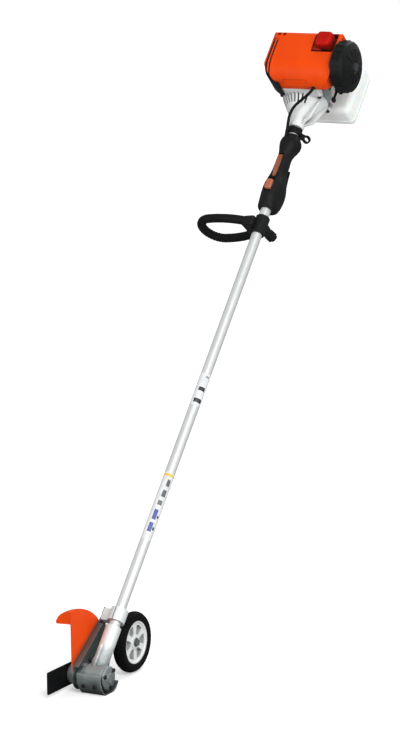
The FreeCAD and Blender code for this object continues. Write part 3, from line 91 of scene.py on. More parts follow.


class Surface:
    """A node-based material: base colour, worn edges, cloudy variation, grain and bump."""

    def __init__(self, name):
        self.material = bpy.data.materials.new(name)
        self.material.use_nodes = True
        self.tree = self.material.node_tree
        self.shader = self.tree.nodes["Principled BSDF"]
        self.place = self.node("ShaderNodeTexCoord").outputs["Object"]

    def node(self, kind, **values):
        made = self.tree.nodes.new(kind)
        for key, value in values.items():
            setattr(made, key, value)
        return made

    def link(self, source, target):
        self.tree.links.new(source, target)

    def noise(self, scale, detail=4.0, rough=0.55, place=None):
        made = self.node("ShaderNodeTexNoise")
        made.inputs["Scale"].default_value = scale
        made.inputs["Detail"].default_value = detail
        made.inputs["Roughness"].default_value = rough
        self.link(place or self.place, made.inputs["Vector"])
        return made.outputs["Fac"]

    def span(self, source, low, high, out_low=0.0, out_high=1.0):
        made = self.node("ShaderNodeMapRange")
        self.link(source, made.inputs["Value"])
        for key, value in (("From Min", low), ("From Max", high), ("To Min", out_low), ("To Max", out_high)):
            made.inputs[key].default_value = value
        return made.outputs["Result"]

    def maths(self, operation, first, second):
        made = self.node("ShaderNodeMath", operation=operation)
        for socket, value in zip(made.inputs, (first, second)):
            if isinstance(value, (int, float)):
                socket.default_value = value
            else:
                self.link(value, socket)
        return made.outputs[0]

    def mix(self, share, first, second):
        made = self.node("ShaderNodeMix", data_type="RGBA")
        for socket, value in ((made.inputs[0], share), (made.inputs[6], first), (made.inputs[7], second)):
            if isinstance(value, (int, float)):
                socket.default_value = value
            elif isinstance(value, tuple):
                socket.default_value = (*value, 1.0)
            else:
                self.link(value, socket)
        return made.outputs[2]

    def edges(self, radius):
        """1 on edges sharper than the radius, 0 on open faces."""
        soft = self.node("ShaderNodeBevel", samples=4)
        soft.inputs["Radius"].default_value = radius
        flat = self.node("ShaderNodeNewGeometry").outputs["Normal"]
        dot = self.node("ShaderNodeVectorMath", operation="DOT_PRODUCT")
        self.link(soft.outputs[0], dot.inputs[0])
        self.link(flat, dot.inputs[1])
        return self.span(dot.outputs["Value"], *EDGE_COSINES)

    def painted_shade(self, base, reach, amount):
        """Painted shade: darkens the colour in corners and gaps, where shadow falls."""
        hidden = self.node("ShaderNodeAmbientOcclusion", samples=4)
        hidden.inputs["Distance"].default_value = reach
        share = self.span(hidden.outputs["AO"], *HIDDEN_SHARES, amount, 0.0)
        return self.mix(share, base, PAINTED_SHADE_COLOUR)

    def bump(self, height, distance, strength=1.0):
        made = self.node("ShaderNodeBump")
        made.inputs["Distance"].default_value = distance
        made.inputs["Strength"].default_value = strength
        self.link(height, made.inputs["Height"])
        self.link(made.outputs["Normal"], self.shader.inputs["Normal"])
        return made

    def set(self, **values):
        for key, value in values.items():
            socket = self.shader.inputs[key.replace("_", " ")]
            if isinstance(value, tuple) and len(value) == 3:
                socket.default_value = (*value, 1.0)
            elif isinstance(value, (int, float)):
                socket.default_value = value
            else:
                self.link(value, socket)


def moulded(name, colour, shade, rough, grain=900.0, depth=0.00006, wear=None, gloss=0.5, dust=0.0,
            painted_shade=0.0):
    """Moulded plastic or rubber: fine eroded grain, slight cloudiness, scuffed edges and dust."""
    surface = Surface(name)
    cloud = surface.span(surface.noise(14.0), *CLOUD)
    base = surface.mix(cloud, colour, shade)
    if dust:
        settled = surface.span(surface.noise(70.0, 6.0), 0.45, 0.8, 0.0, dust)
        base = surface.mix(settled, base, DUST_COLOUR)
    if wear:
        scuff = surface.span(surface.noise(260.0, 6.0), 0.52, 0.72)
        edge = surface.maths("MULTIPLY", surface.edges(0.0012), scuff)
        base = surface.mix(edge, base, wear)
    # painted shade: darkens the plastic in its corners and gaps
    if painted_shade:
        base = surface.painted_shade(base, 0.022, painted_shade)
    smudge = surface.span(surface.noise(45.0, 6.0), *SMUDGE, rough - 0.06, rough + 0.08)
    surface.set(Base_Color=base, Roughness=smudge, Specular_IOR_Level=gloss)
    surface.bump(surface.noise(grain, 2.0), depth, 0.6)
    return surface.material


def metal(name, colour, shade, rough, grain=500.0, depth=0.00004, wear=None, metallic=1.0):
    """Bare, cast or plated metal with grain, cloudy tarnish and brighter edges."""
    surface = Surface(name)
    streak = surface.noise(grain, 5.0, 0.6)
    cloud = surface.span(surface.noise(22.0), *CLOUD)
    base = surface.mix(cloud, colour, shade)
    base = surface.mix(surface.span(streak, 0.45, 0.8, 0.0, 0.35), base, shade)
    if wear:
        base = surface.mix(surface.edges(0.0008), base, wear)
        # painted shade: darkens the metal in its corners and gaps
        base = surface.painted_shade(base, 0.012, 0.55)
    roughness = surface.span(streak, *STREAK, rough - 0.08, rough + 0.1)
    surface.set(Base_Color=base, Metallic=metallic, Roughness=roughness)
    surface.bump(streak, depth, 0.7)
    return surface.material


def knurled_grip(name):
    """Handle plastic with a pressed diamond pattern, worn smooth and slightly dusty in places."""
    surface = Surface(name)
    cloud = surface.span(surface.noise(16.0), *CLOUD)
    base = surface.mix(cloud, (0.005, 0.0055, 0.006), (0.011, 0.0115, 0.012))
    dust = surface.span(surface.noise(60.0, 6.0), 0.55, 0.85, 0.0, 0.25)
    base = surface.mix(dust, base, (0.07, 0.065, 0.06))

    def ridges(direction):
        dot = surface.node("ShaderNodeVectorMath", operation="DOT_PRODUCT")
        surface.link(surface.place, dot.inputs[0])
        dot.inputs[1].default_value = direction * GRIP_RIDGES
        return surface.maths("ABSOLUTE", surface.maths("SINE", dot.outputs["Value"], 0.0), 0.0)

    pattern = surface.maths("MULTIPLY", ridges(UP_TUBE + LEFT), ridges(UP_TUBE - LEFT))
    bare = surface.span(surface.noise(25.0, 3.0), 0.35, 0.6)
    relief = surface.maths("ADD", surface.maths("MULTIPLY", pattern, bare), surface.noise(1200.0, 2.0))
    smudge = surface.span(surface.noise(45.0, 6.0), *SMUDGE, 0.46, 0.64)
    surface.set(Base_Color=base, Roughness=smudge, Specular_IOR_Level=0.18)
    surface.bump(relief, 0.00025, 0.6)
    return surface.material


def height_shaded_alloy(name):
    """Cast alloy, bright on the neck and grey on the gear head, darkening towards its bottom with painted shade.
    """
    surface = Surface(name)
    streak = surface.noise(650.0, 5.0, 0.6)
    height = surface.node("ShaderNodeSeparateXYZ")
    surface.link(surface.place, height.inputs["Vector"])
    wander = surface.span(surface.noise(30.0), 0.3, 0.7, -0.012, 0.012)
    level = surface.maths("ADD", height.outputs["Z"], wander)
    # painted shade: the alloy turns dark towards the bottom of the gear head
    low = surface.mix(surface.span(level, 0.012, 0.05), (0.07, 0.08, 0.085), (0.27, 0.31, 0.31))
    base = surface.mix(surface.span(level, 0.062, 0.10), low, (0.80, 0.84, 0.835))
    base = surface.mix(surface.edges(0.0008), base, (0.62, 0.65, 0.65))
    # painted shade: darkens the alloy in its corners and gaps
    base = surface.painted_shade(base, 0.015, 0.6)
    surface.set(Base_Color=base, Metallic=0.45, Roughness=surface.span(streak, *STREAK, 0.5, 0.68))
    surface.bump(streak, 0.00012, 0.7)
    return surface.material


def tank_shell(name):
    """Natural polyethylene: milky and slightly see-through."""
    surface = Surface(name)
    cloud = surface.span(surface.noise(18.0), *CLOUD)
    base = surface.mix(cloud, (0.90, 0.92, 0.905), (0.84, 0.865, 0.85))
    smudge = surface.span(surface.noise(45.0, 6.0), *SMUDGE, 0.36, 0.5)
    # painted glow: the tank's wall emits a little light of its own
    surface.set(Base_Color=base, Roughness=smudge, Specular_IOR_Level=0.4,
                Subsurface_Weight=0.35, Subsurface_Scale=0.006,
                Emission_Color=(0.95, 1.0, 0.98), Emission_Strength=TANK_PAINTED_GLOW)
    surface.bump(surface.noise(600.0, 2.0), 0.00004, 0.5)
    return surface.material


def printed_label(name, ground, blocks):
    """A printed sleeve: plain colour blocks placed by distance up the tube and side of it.

    Each block is (low, high, from side, to side, colour); sides run from -1 to 1 across the
    upper left face of the tube.
    """
    surface = Surface(name)

    def along(axis):
        dot = surface.node("ShaderNodeVectorMath", operation="DOT_PRODUCT")
        surface.link(surface.place, dot.inputs[0])
        dot.inputs[1].default_value = axis
        return dot.outputs["Value"]

    def within(value, low, high):
        above = surface.maths("GREATER_THAN", value, low)
        return surface.maths("MULTIPLY", above, surface.maths("LESS_THAN", value, high))

    start = GEAR_CENTRE.dot(UP_TUBE)
    level = surface.maths("MULTIPLY", surface.maths("SUBTRACT", along(UP_TUBE), start), 1000.0)
    across = (LEFT - ABOVE).normalized()
    middle = GEAR_CENTRE.dot(across)
    side = surface.maths("MULTIPLY", surface.maths("SUBTRACT", along(across), middle), 1000.0 / TUBE_SKIN)
    facing = surface.maths("SUBTRACT", along(LEFT + ABOVE), GEAR_CENTRE.dot(ABOVE))
    front = surface.maths("GREATER_THAN", facing, 0.0)
    cloud = surface.span(surface.noise(60.0, 5.0), *CLOUD)
    base = surface.mix(cloud, ground, tuple(0.88 * channel for channel in ground))
    for low, high, left, right, colour in blocks:
        inside = surface.maths("MULTIPLY", within(level, low, high), within(side, left, right))
        worn = surface.span(surface.noise(420.0, 5.0), 0.30, 0.42, 0.35, 1.0)
        inside = surface.maths("MULTIPLY", surface.maths("MULTIPLY", inside, front), worn)
        base = surface.mix(inside, base, colour)
    surface.set(Base_Color=base, Roughness=surface.span(surface.noise(90.0), *STREAK, 0.32, 0.46))
    surface.bump(surface.noise(500.0, 3.0), 0.00001, 0.5)
    return surface.material


INK = (0.02, 0.022, 0.03)
YELLOW = (0.85, 0.55, 0.05)
BLUE = (0.06, 0.08, 0.34)
GREY = (0.3, 0.3, 0.32)
DARK_GREY = (0.12, 0.12, 0.13)
BROWN_GREY = (0.16, 0.15, 0.14)
UPPER_BLOCKS = [(712, 723, -0.75, 0.7, INK), (744, 754, -0.6, 0.6, INK), (780, 785, -0.1, 0.6, GREY)]
LOWER_BLOCKS = [
    (512, 518, -1.0, 1.0, YELLOW), (486, 504, -0.2, 0.45, DARK_GREY), (458, 476, -0.35, 0.4, DARK_GREY),
    (436, 448, -0.5, 0.3, BROWN_GREY), (398, 424, -0.55, 0.15, BLUE), (366, 390, -0.6, 0.1, BLUE),
    (404, 410, 0.25, 0.6, INK), (372, 380, 0.2, 0.55, INK),
]

# Some materials darken in their corners and gaps; that darkening is painted shade.
MOULDED = {
    "orange_plastic": dict(colour=(0.90, 0.074, 0.001), shade=(0.82, 0.060, 0.001), rough=0.46,
                           grain=700.0, depth=0.00004, wear=(0.90, 0.22, 0.07), gloss=0.16, painted_shade=0.8),
    "lever_orange": dict(colour=(0.36, 0.095, 0.035), shade=(0.26, 0.075, 0.035), rough=0.6,
                         wear=(0.5, 0.2, 0.1), gloss=0.3, dust=0.5),
    "switch_orange": dict(colour=(0.55, 0.15, 0.06), shade=(0.42, 0.12, 0.06), rough=0.55,
                          wear=(0.6, 0.3, 0.2), gloss=0.3, dust=0.6),
    "black_plastic": dict(colour=(0.005, 0.0055, 0.006), shade=(0.010, 0.0105, 0.011), rough=0.5,
                          grain=1100.0, depth=0.00008, wear=(0.06, 0.06, 0.06), gloss=0.18),
    "grey_plastic": dict(colour=(0.05, 0.055, 0.058), shade=(0.04, 0.042, 0.045), rough=0.5,
                         grain=1100.0, depth=0.00008, wear=(0.15, 0.15, 0.15), gloss=0.3),
    "light_plastic": dict(colour=(0.86, 0.885, 0.88), shade=(0.78, 0.81, 0.805), rough=0.45,
                          depth=0.00005, wear=(0.85, 0.85, 0.85), gloss=0.4, painted_shade=0.6),
    "grip_rubber": dict(colour=(0.004, 0.004, 0.0045), shade=(0.008, 0.008, 0.0085), rough=0.6,
                        grain=1400.0, depth=0.0001, gloss=0.16),
    "boot_rubber": dict(colour=(0.56, 0.006, 0.001), shade=(0.40, 0.004, 0.001), rough=0.5,
                        grain=1000.0, gloss=0.14, painted_shade=0.8),
    "tyre_rubber": dict(colour=(0.002, 0.002, 0.0025), shade=(0.006, 0.006, 0.0065), rough=0.65,
                        grain=1200.0, depth=0.0001, gloss=0.1),
    "black_steel": dict(colour=(0.002, 0.0025, 0.003), shade=(0.006, 0.0065, 0.007), rough=0.5,
                        grain=800.0, depth=0.00004, wear=(0.10, 0.10, 0.10), gloss=0.1),
    "muffler_steel": dict(colour=(0.03, 0.029, 0.028), shade=(0.06, 0.042, 0.033), rough=0.65,
                          grain=500.0, depth=0.00008, gloss=0.3),
    "rope_cord": dict(colour=(0.62, 0.60, 0.56), shade=(0.5, 0.48, 0.45), rough=0.8,
                      grain=1500.0, depth=0.0001, gloss=0.1),
    "bush_plastic": dict(colour=(0.72, 0.71, 0.66), shade=(0.66, 0.65, 0.6), rough=0.5),
    "filter_paper": dict(colour=(0.78, 0.74, 0.62), shade=(0.70, 0.66, 0.55), rough=0.8, gloss=0.1),
}
METAL = {
    "cast_alloy": dict(colour=(0.36, 0.40, 0.40), shade=(0.27, 0.30, 0.30), rough=0.58,
                       grain=650.0, depth=0.00012, wear=(0.55, 0.58, 0.58), metallic=0.75),
    "collar_steel": dict(colour=(0.55, 0.58, 0.58), shade=(0.46, 0.49, 0.49), rough=0.42,
                         grain=420.0, depth=0.00003, wear=(0.7, 0.7, 0.7), metallic=0.7),
    "tube_alloy": dict(colour=(0.90, 0.92, 0.92), shade=(0.84, 0.86, 0.86), rough=0.36,
                       grain=300.0, depth=0.00001, metallic=0.6),
    "plated_steel": dict(colour=(0.22, 0.26, 0.25), shade=(0.16, 0.20, 0.19), rough=0.5,
                         grain=420.0, depth=0.00003, wear=(0.6, 0.62, 0.62), metallic=0.85),
    "dark_screws": dict(colour=(0.10, 0.10, 0.11), shade=(0.06, 0.06, 0.065), rough=0.4),
    "machined_steel": dict(colour=(0.56, 0.57, 0.58), shade=(0.48, 0.49, 0.5), rough=0.3),
}
MATERIALS = {name: moulded(name, **look) for name, look in MOULDED.items()}
MATERIALS.update({name: metal(name, **look) for name, look in METAL.items()})
MATERIALS.update({
    "height_shaded_alloy": height_shaded_alloy("height_shaded_alloy"),
    "knurled_grip": knurled_grip("knurled_grip"),
    "tank_plastic": tank_shell("tank_plastic"),
    "upper_label": printed_label("upper_label", (0.80, 0.82, 0.83), UPPER_BLOCKS),
    "lower_label": printed_label("lower_label", (0.78, 0.80, 0.81), LOWER_BLOCKS),
})
OWN_MATERIALS = {
    "stop_switch": "switch_orange", "trigger_lockout": "lever_orange", "blade_collar": "collar_steel",
    "gear_housing": "height_shaded_alloy", "neck_clamp": "height_shaded_alloy", "bearing_cover": "height_shaded_alloy",
    "skid_plate": "height_shaded_alloy", "handle_left": "knurled_grip", "handle_right": "knurled_grip",
}


def paint_cad_nodes():
    for part in frame["record"]["subparts"]:
        node = frame["nodes"][part["node"]]
        material = MATERIALS[OWN_MATERIALS.get(part["node"], part["material_slot"])]
        node.data.materials.clear()
        node.data.materials.append(material)


# ---------------------------------------------------------------- mesh helpers
def on_tube(height, left, up):
    """A place in the tube frame, given in millimetres, as a point in the scene."""
    return TUBE_FRAME @ Vector((height * MM, left * MM, up * MM))


def add_piece(name, build, material, body, smooth_angle=40.0):
    """Turns a bmesh into a shown piece that rides on a body."""
    bmesh.ops.remove_doubles(build, verts=build.verts, dist=0.000001)
    bmesh.ops.recalc_face_normals(build, faces=build.faces)
    mesh = bpy.data.meshes.new(name)
    build.to_mesh(mesh)
    build.free()
    mesh.materials.append(MATERIALS[material])
    mesh.shade_smooth()
    mesh.set_sharp_from_angle(angle=math.radians(smooth_angle))
    piece = bpy.data.objects.new(name, mesh)
    bpy.context.scene.collection.objects.link(piece)
    if body:
        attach(piece, body)
    return piece


def bridge(build, rings, closed_loop=False):
    """Skins a list of vertex rings with quads, and caps the ends of an open run."""
    pairs = list(zip(rings, rings[1:]))
    if closed_loop:
        pairs.append((rings[-1], rings[0]))
    for near, far in pairs:
        count = len(near)
        for index in range(count):
            after = (index + 1) % count
            build.faces.new((near[index], near[after], far[after], far[index]))
    if not closed_loop:
        build.faces.new(list(reversed(rings[0])))
        build.faces.new(rings[-1])


def lathe(build, profile, centre, axis, across, segments, shift=None):
    """Turns a closed profile of (radius, along) pairs round an axis.

    shift(angle, radius, along) gives a new (radius, along) and shapes treads, flutes and ribs.
    """
    axis = Vector(axis).normalized()
    across = Vector(across).normalized()
    third = axis.cross(across)
    rings = []
    for step in range(segments):
        angle = math.tau * step / segments
        spoke = across * math.cos(angle) + third * math.sin(angle)
        ring = []
        for radius, along in profile:
            if shift:
                radius, along = shift(angle, radius, along)
            ring.append(build.verts.new(centre + spoke * radius + axis * along))
        rings.append(ring)
    bridge(build, rings, closed_loop=True)


def arc_points(start, middle, end, steps):
    """Points on the circle through three places, without the last one."""
    first, second = middle - start, end - start
    normal = first.cross(second)
    centre = start + (normal.cross(first) * second.length_squared
                      + second.cross(normal) * first.length_squared) / (2 * normal.length_squared)
    turn = 2 * (math.pi - (start - middle).angle(end - middle))
    arm, axis = start - centre, normal.normalized()
    return [centre + Matrix.Rotation(turn * step / steps, 3, axis) @ arm for step in range(steps)]


def sweep(build, path, radius, sides, up):
    """A tube of the given sides along a path; radius(distance, angle) shapes its skin."""
    rings = []
    travelled = 0.0
    reference = Vector(up)
    for index, place in enumerate(path):
        ahead = path[min(index + 1, len(path) - 1)]
        behind = path[max(index - 1, 0)]
        tangent = (ahead - behind).normalized()
        if index:
            travelled += (place - path[index - 1]).length
        reference = (reference - tangent * reference.dot(tangent)).normalized()
        second = tangent.cross(reference)
        ring = []
        for side in range(sides):
            angle = math.tau * side / sides
            spoke = reference * math.cos(angle) + second * math.sin(angle)
            ring.append(build.verts.new(place + spoke * radius(travelled, angle)))
        rings.append(ring)
    bridge(build, rings)


# ---------------------------------------------------------------- wheel
TREAD_LUGS = 44
LUG_STEPS = 8
GROOVE_DEPTH = 1.9 * MM
TYRE_CROWN = 7.5 * MM
TYRE_SHOULDER = 5.0 * MM
WALL_STEPS = 6
SHOULDER_STEPS = 8
CROWN_STEPS = 12
TREAD_ZONE = 6.5 * MM        # the tread pattern reaches this far below the crown
SLOT_SHARE = 0.26            # part of a lug's pitch that its slot takes up
SLOT_START = 0.22            # inner end of the slots, as a share of half the width
RUNNING_PLACE = 0.26         # middle and half width of the two running grooves, likewise
RUNNING_HALF = 0.05


def tyre_profile(rim, radius, width):
    """Closed outline of the tyre as (radius, along) pairs, from bead to bead and back."""
    half = width / 2
    outline = [(rim - 0.5 * MM, -half + 2.8 * MM)]
    for step in range(WALL_STEPS + 1):
        share = step / WALL_STEPS
        outline.append((rim + 1.5 * MM + share * (radius - rim - TYRE_SHOULDER - 3 * MM),
                        -half + (0.9 - 0.9 * math.sin(math.pi * (0.25 + 0.6 * share))) * MM))
    for step in range(1, SHOULDER_STEPS):
        turn = math.pi / 2 * step / SHOULDER_STEPS
        outline.append((radius - TYRE_CROWN * 0.45 - TYRE_SHOULDER * (1 - math.sin(turn)),
                        -half + TYRE_CROWN * 0.75 * (1 - math.cos(turn)) + 0.1 * MM))
    first_side = list(outline)
    flat = half - TYRE_CROWN * 0.75
    for step in range(1, CROWN_STEPS):
        along = -flat + 2 * flat * step / CROWN_STEPS
        outline.append((radius - 0.02 * MM - TYRE_CROWN * 0.32 * (abs(along) / flat) ** 3, along))
    outline += [(far, -along) for far, along in reversed(first_side)]
    return outline


def tread_shift(radius, width):
    """Cuts two running grooves and staggered shoulder slots into the crown of the tyre."""
    half = width / 2

    def shift(angle, far, along):
        if far < radius - TREAD_ZONE:
            return far, along
        pitch = angle / math.tau * TREAD_LUGS + (0.5 if along > 0 else 0.0)
        slot = pitch % 1.0 < SLOT_SHARE and abs(along) > half * SLOT_START
        running = abs(abs(along) - half * RUNNING_PLACE) < half * RUNNING_HALF
        cut = GROOVE_DEPTH if slot or running else 0.0
        return far - cut, along

    return shift


def make_tyre():
    low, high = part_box("tyre")
    centre = Vector(joint("wheel_spin")["pos_m"])
    centre.y = (low[1] + high[1]) / 2
    radius, width = (high[0] - low[0]) / 2, high[1] - low[1]
    rim_low, rim_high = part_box("wheel_rim")
    rim = (rim_high[0] - rim_low[0]) / 2
    build = bmesh.new()
    lathe(build, tyre_profile(rim, radius, width), centre, LEFT, (1, 0, 0), TREAD_LUGS * LUG_STEPS,
          tread_shift(radius, width))
    tyre = add_piece("tyre_tread", build, "tyre_rubber", "guide_wheel", 30.0)
    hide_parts("tyre")


# ---------------------------------------------------------------- loop handle
LOOP_LEVEL = 1215.0
LOOP_TURN = math.radians(100.0)
LOOP_SKIN = 11.0
LOOP_RIB_PITCH = 7.0
LOOP_RIB_DEPTH = 0.9
LOOP_RIBBED = (70.0, 330.0)
LOOP_ROOT = (14.0, 19.0)     # places on the loop: reach from the tube, distance to the side
LOOP_LEAD = (62.0, 36.0)
LOOP_SIDE = (126.0, 42.0)
LOOP_REACH = 168.0
LEG_STEPS = 110
BOW_STEPS = 130
SEAM_SINE = 0.09             # sine of half the angle that a moulding seam takes up
SEAM_DEPTH = 0.3


def loop_place(out, across):
    return on_tube(out * math.cos(LOOP_TURN) + across * math.sin(LOOP_TURN),
                   -out * math.sin(LOOP_TURN) + across * math.cos(LOOP_TURN), LOOP_LEVEL)


def loop_skin(distance, angle):
    """Soft grip ribs round the loop, with a moulding seam on the inside and the outside."""
    along = distance / MM
    radius = LOOP_SKIN
    if LOOP_RIBBED[0] < along < LOOP_RIBBED[1]:
        wave = 0.5 - 0.5 * math.cos(math.tau * (along - LOOP_RIBBED[0]) / LOOP_RIB_PITCH)
        radius -= LOOP_RIB_DEPTH * wave ** 3
    if abs(math.sin(angle)) < SEAM_SINE:
        radius -= SEAM_DEPTH
    return radius * MM


def make_loop():
    places = (LOOP_ROOT, LOOP_LEAD, LOOP_SIDE)
    root, lead, side = (loop_place(out, across) for out, across in places)
    foot, back, other = (loop_place(out, -across) for out, across in places)
    path = arc_points(root, lead, side, LEG_STEPS)
    path += arc_points(side, loop_place(LOOP_REACH, 0), other, BOW_STEPS)
    path += arc_points(other, back, foot, LEG_STEPS) + [foot]
    build = bmesh.new()
    sweep(build, path, loop_skin, 48, UP_TUBE.cross((side - root).normalized()))
    loop = add_piece("loop_grip", build, "grip_rubber", "root", 35.0)
    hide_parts("loop_handle")


# ---------------------------------------------------------------- recoil starter pull
PULL_HEIGHT = -14.0
PULL_LEVEL = 1700.0
ROPE_RADIUS = 1.7
ROPE_INNER = -33.0           # ends of the rope at rest, along Y
ROPE_OUTER = -61.0
ROPE_STEPS = 84
STRAND_DEPTH = 0.22
STRAND_TWIST = 0.55          # turn per millimetre, radians
BAR_LENGTH = 48.0
BAR_RADIUS = 6.0
BAR_LOW = -38.0              # lower end of the bar, height above the tube
BAR_SIDE = -67.4
BAR_STEPS = 72
FINGER_DEPTH = 0.9
FINGER_PITCH = 16.0


def rope_skin(distance, angle):
    """Three twisted strands."""
    twist = 3 * (angle + distance / MM * STRAND_TWIST)
    return (ROPE_RADIUS - STRAND_DEPTH + STRAND_DEPTH * math.cos(twist)) * MM


def pull_place(side):
    return on_tube(PULL_HEIGHT, side, PULL_LEVEL)


def make_rope():
    length = ROPE_OUTER - ROPE_INNER
    path = [pull_place(ROPE_INNER + length * step / ROPE_STEPS) for step in range(ROPE_STEPS + 1)]
    build = bmesh.new()
    sweep(build, path, rope_skin, 24, UP_TUBE)
    rope = add_piece("starter_rope", build, "rope_cord", None, 60.0)
    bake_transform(rope)


def bar_skin(distance, angle):
    """A T-bar with round ends, a waist at the rope and finger hollows."""
    along = distance / MM
    ends = min(along, BAR_LENGTH - along, BAR_RADIUS)
    round_off = math.sqrt(max(0.0, 1 - (1 - ends / BAR_RADIUS) ** 2))
    hollow = FINGER_DEPTH * math.cos(math.tau * along / FINGER_PITCH)
    oval = 1.0 + 0.10 * math.cos(2 * angle)
    return max(0.25, (BAR_RADIUS + hollow) * round_off * oval) * MM


def make_pull():
    heights = [BAR_LOW + BAR_LENGTH * step / BAR_STEPS for step in range(BAR_STEPS + 1)]
    path = [on_tube(height, BAR_SIDE, PULL_LEVEL) for height in heights]
    build = bmesh.new()
    sweep(build, path, bar_skin, 36, UP_TUBE)
    bar = add_piece("pull_bar", build, "grey_plastic", "pull_grip", 50.0)
    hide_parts("starter_grip")
    outline = [(2.0, -1.5), (4.0, -1.5), (4.6, -0.9), (5.6, 1.6), (5.6, 3.6), (2.0, 3.6)]
    profile = [(radius * MM, along * MM) for radius, along in outline]
    build = bmesh.new()
    lathe(build, profile, pull_place(-60.4), -LEFT, UP_TUBE, 48)
    add_piece("pull_neck", build, "grey_plastic", "pull_grip", 30.0)


# ---------------------------------------------------------------- shroud trim
TRIM_CENTRE = (80.0, 1650.0)
TRIM_SPAN = (-33.0, 78.0)    # degrees from straight up, backwards and forwards
TRIM_FLOOR = 0.06
TRIM_TOP = 1.5
TRIM_STEPS = 120
TRIM_RIB = 4                 # every fourth step is a notch between two ribs
TRIM_NOTCH = 0.5
TRIM_CHAMFER = (0.4, 0.6)    # down and across
RAY_START = 0.2              # metres from the trim's centre, well outside the shroud


def shroud_hit(side, degrees):
    """Point and outward direction where a ray from outside meets the shroud in its groove."""
    angle = math.radians(degrees)
    centre = on_tube(TRIM_CENTRE[0], side, TRIM_CENTRE[1])
    outward = ABOVE * math.cos(angle) - UP_TUBE * math.sin(angle)
    _, place, _, _ = frame["nodes"]["engine_shroud"].ray_cast(centre + outward * RAY_START, -outward)
    return place, outward


def make_trim(name, low, high):
    """A dark ribbed strip lying in one of the shroud's grooves: painted shade, a dark piece standing for the
    shadow on the shroud's end.
    """
    down, across = TRIM_CHAMFER
    rings = []
    build = bmesh.new()
    for step in range(TRIM_STEPS + 1):
        degrees = TRIM_SPAN[0] + (TRIM_SPAN[1] - TRIM_SPAN[0]) * step / TRIM_STEPS
        crown = TRIM_TOP - (TRIM_NOTCH if step % TRIM_RIB == 0 else 0.0)
        ring = []
        for side, lift in ((low, TRIM_FLOOR), (high, TRIM_FLOOR), (high, crown - down),
                           (high - across, crown), (low + across, crown), (low, crown - down)):
            place, outward = shroud_hit(side, degrees)
            ring.append(build.verts.new(place + outward * (lift * MM)))
        rings.append(ring)
    bridge(build, rings)
    add_piece(name, build, "black_plastic", "root", 25.0)


# ---------------------------------------------------------------- fuel tank seam
TANK_LOW = (-75.0, 1596.0)   # the tank's outline: side, level
TANK_HIGH = (95.0, 1745.0)
TANK_CORNER = 15.0
CORNER_STEPS = 12
SEAM_HEIGHT = -92.0
SEAM_ROOT = -1.0             # the seam starts inside the tank's wall
SEAM_RISE = 0.9
SEAM_THICKNESS = 1.6
SEAM_CHAMFER = 0.3


def make_tank_seam():
    """The moulding seam that runs round the lower rim of the blow-moulded tank."""
    near_side, far_side = TANK_LOW[0] + TANK_CORNER, TANK_HIGH[0] - TANK_CORNER
    near_level, far_level = TANK_LOW[1] + TANK_CORNER, TANK_HIGH[1] - TANK_CORNER
    corners = [(far_side, far_level, 0), (near_side, far_level, 90),
               (near_side, near_level, 180), (far_side, near_level, 270)]
    half = SEAM_THICKNESS / 2
    section = [(SEAM_ROOT, -half), (SEAM_RISE - SEAM_CHAMFER, -half), (SEAM_RISE, -half + SEAM_CHAMFER),
               (SEAM_RISE, half - SEAM_CHAMFER), (SEAM_RISE - SEAM_CHAMFER, half), (SEAM_ROOT, half)]
    build = bmesh.new()
    rings = []
    for side, level, start in corners:
        for step in range(CORNER_STEPS + 1):
            angle = math.radians(start + 90 * step / CORNER_STEPS)
            ring = []
            for reach, lift in section:
                far = TANK_CORNER + reach
                place = on_tube(SEAM_HEIGHT + lift,
                                side + math.cos(angle) * far, level + math.sin(angle) * far)
                ring.append(build.verts.new(place))
            rings.append(ring)
    bridge(build, rings, closed_loop=True)
    add_piece("tank_seam", build, "tank_plastic", "root", 40.0)


# ---------------------------------------------------------------- tube labels
LABEL_LIFT = (0.03, 0.18)    # inner and outer face of a sleeve above the tube's skin


def make_label(name, material, low, high):
    """A thin printed sleeve with rounded edges round the drive tube."""
    inner, outer = TUBE_SKIN + LABEL_LIFT[0], TUBE_SKIN + LABEL_LIFT[1]
    half = (high - low) / 2
    outline = [(inner, -half), (outer - 0.05, -half), (outer, -half + 0.2), (outer, half - 0.2),
               (outer - 0.05, half), (inner, half)]
    profile = [(radius * MM, along * MM) for radius, along in outline]
    build = bmesh.new()
    lathe(build, profile, on_tube(0, 0, (low + high) / 2), UP_TUBE, ABOVE, 64)
    add_piece(name, build, material, "root", 30.0)


# ---------------------------------------------------------------- studio
CAMERA_AZIMUTH = math.radians(28.79)
CAMERA_ELEVATION = math.radians(10.39)
CAMERA_ROLL = math.radians(-0.58)
CAMERA_DISTANCE = 7.0
CAMERA_TARGET = Vector((-0.560, -0.035, 0.643))
CAMERA_LENS = 146.0
SKY_LIGHT = 0.42
FLOOR_BOUNCE = (0.30, 0.30, 0.30)
FLOOR_FADE = (0.3, 2.2)        # the floor whitens out between these distances, near and far
FLOOR_GLOW = (0.34, 0.72)
LIGHTS = {                     # place, aim, size and power
    "key": ((2.6, 3.0, 3.8), (-0.5, 0, 0.7), 2.2, 140.0),
    "front": ((4.2, -1.4, 1.6), (-0.5, 0, 0.7), 2.6, 70.0),
    "side": ((1.2, 4.4, 1.1), (-0.1, 0, 0.15), 2.0, 70.0),
    "back": ((-3.6, 0.5, 3.4), (-0.6, 0, 0.8), 2.0, 60.0),
}


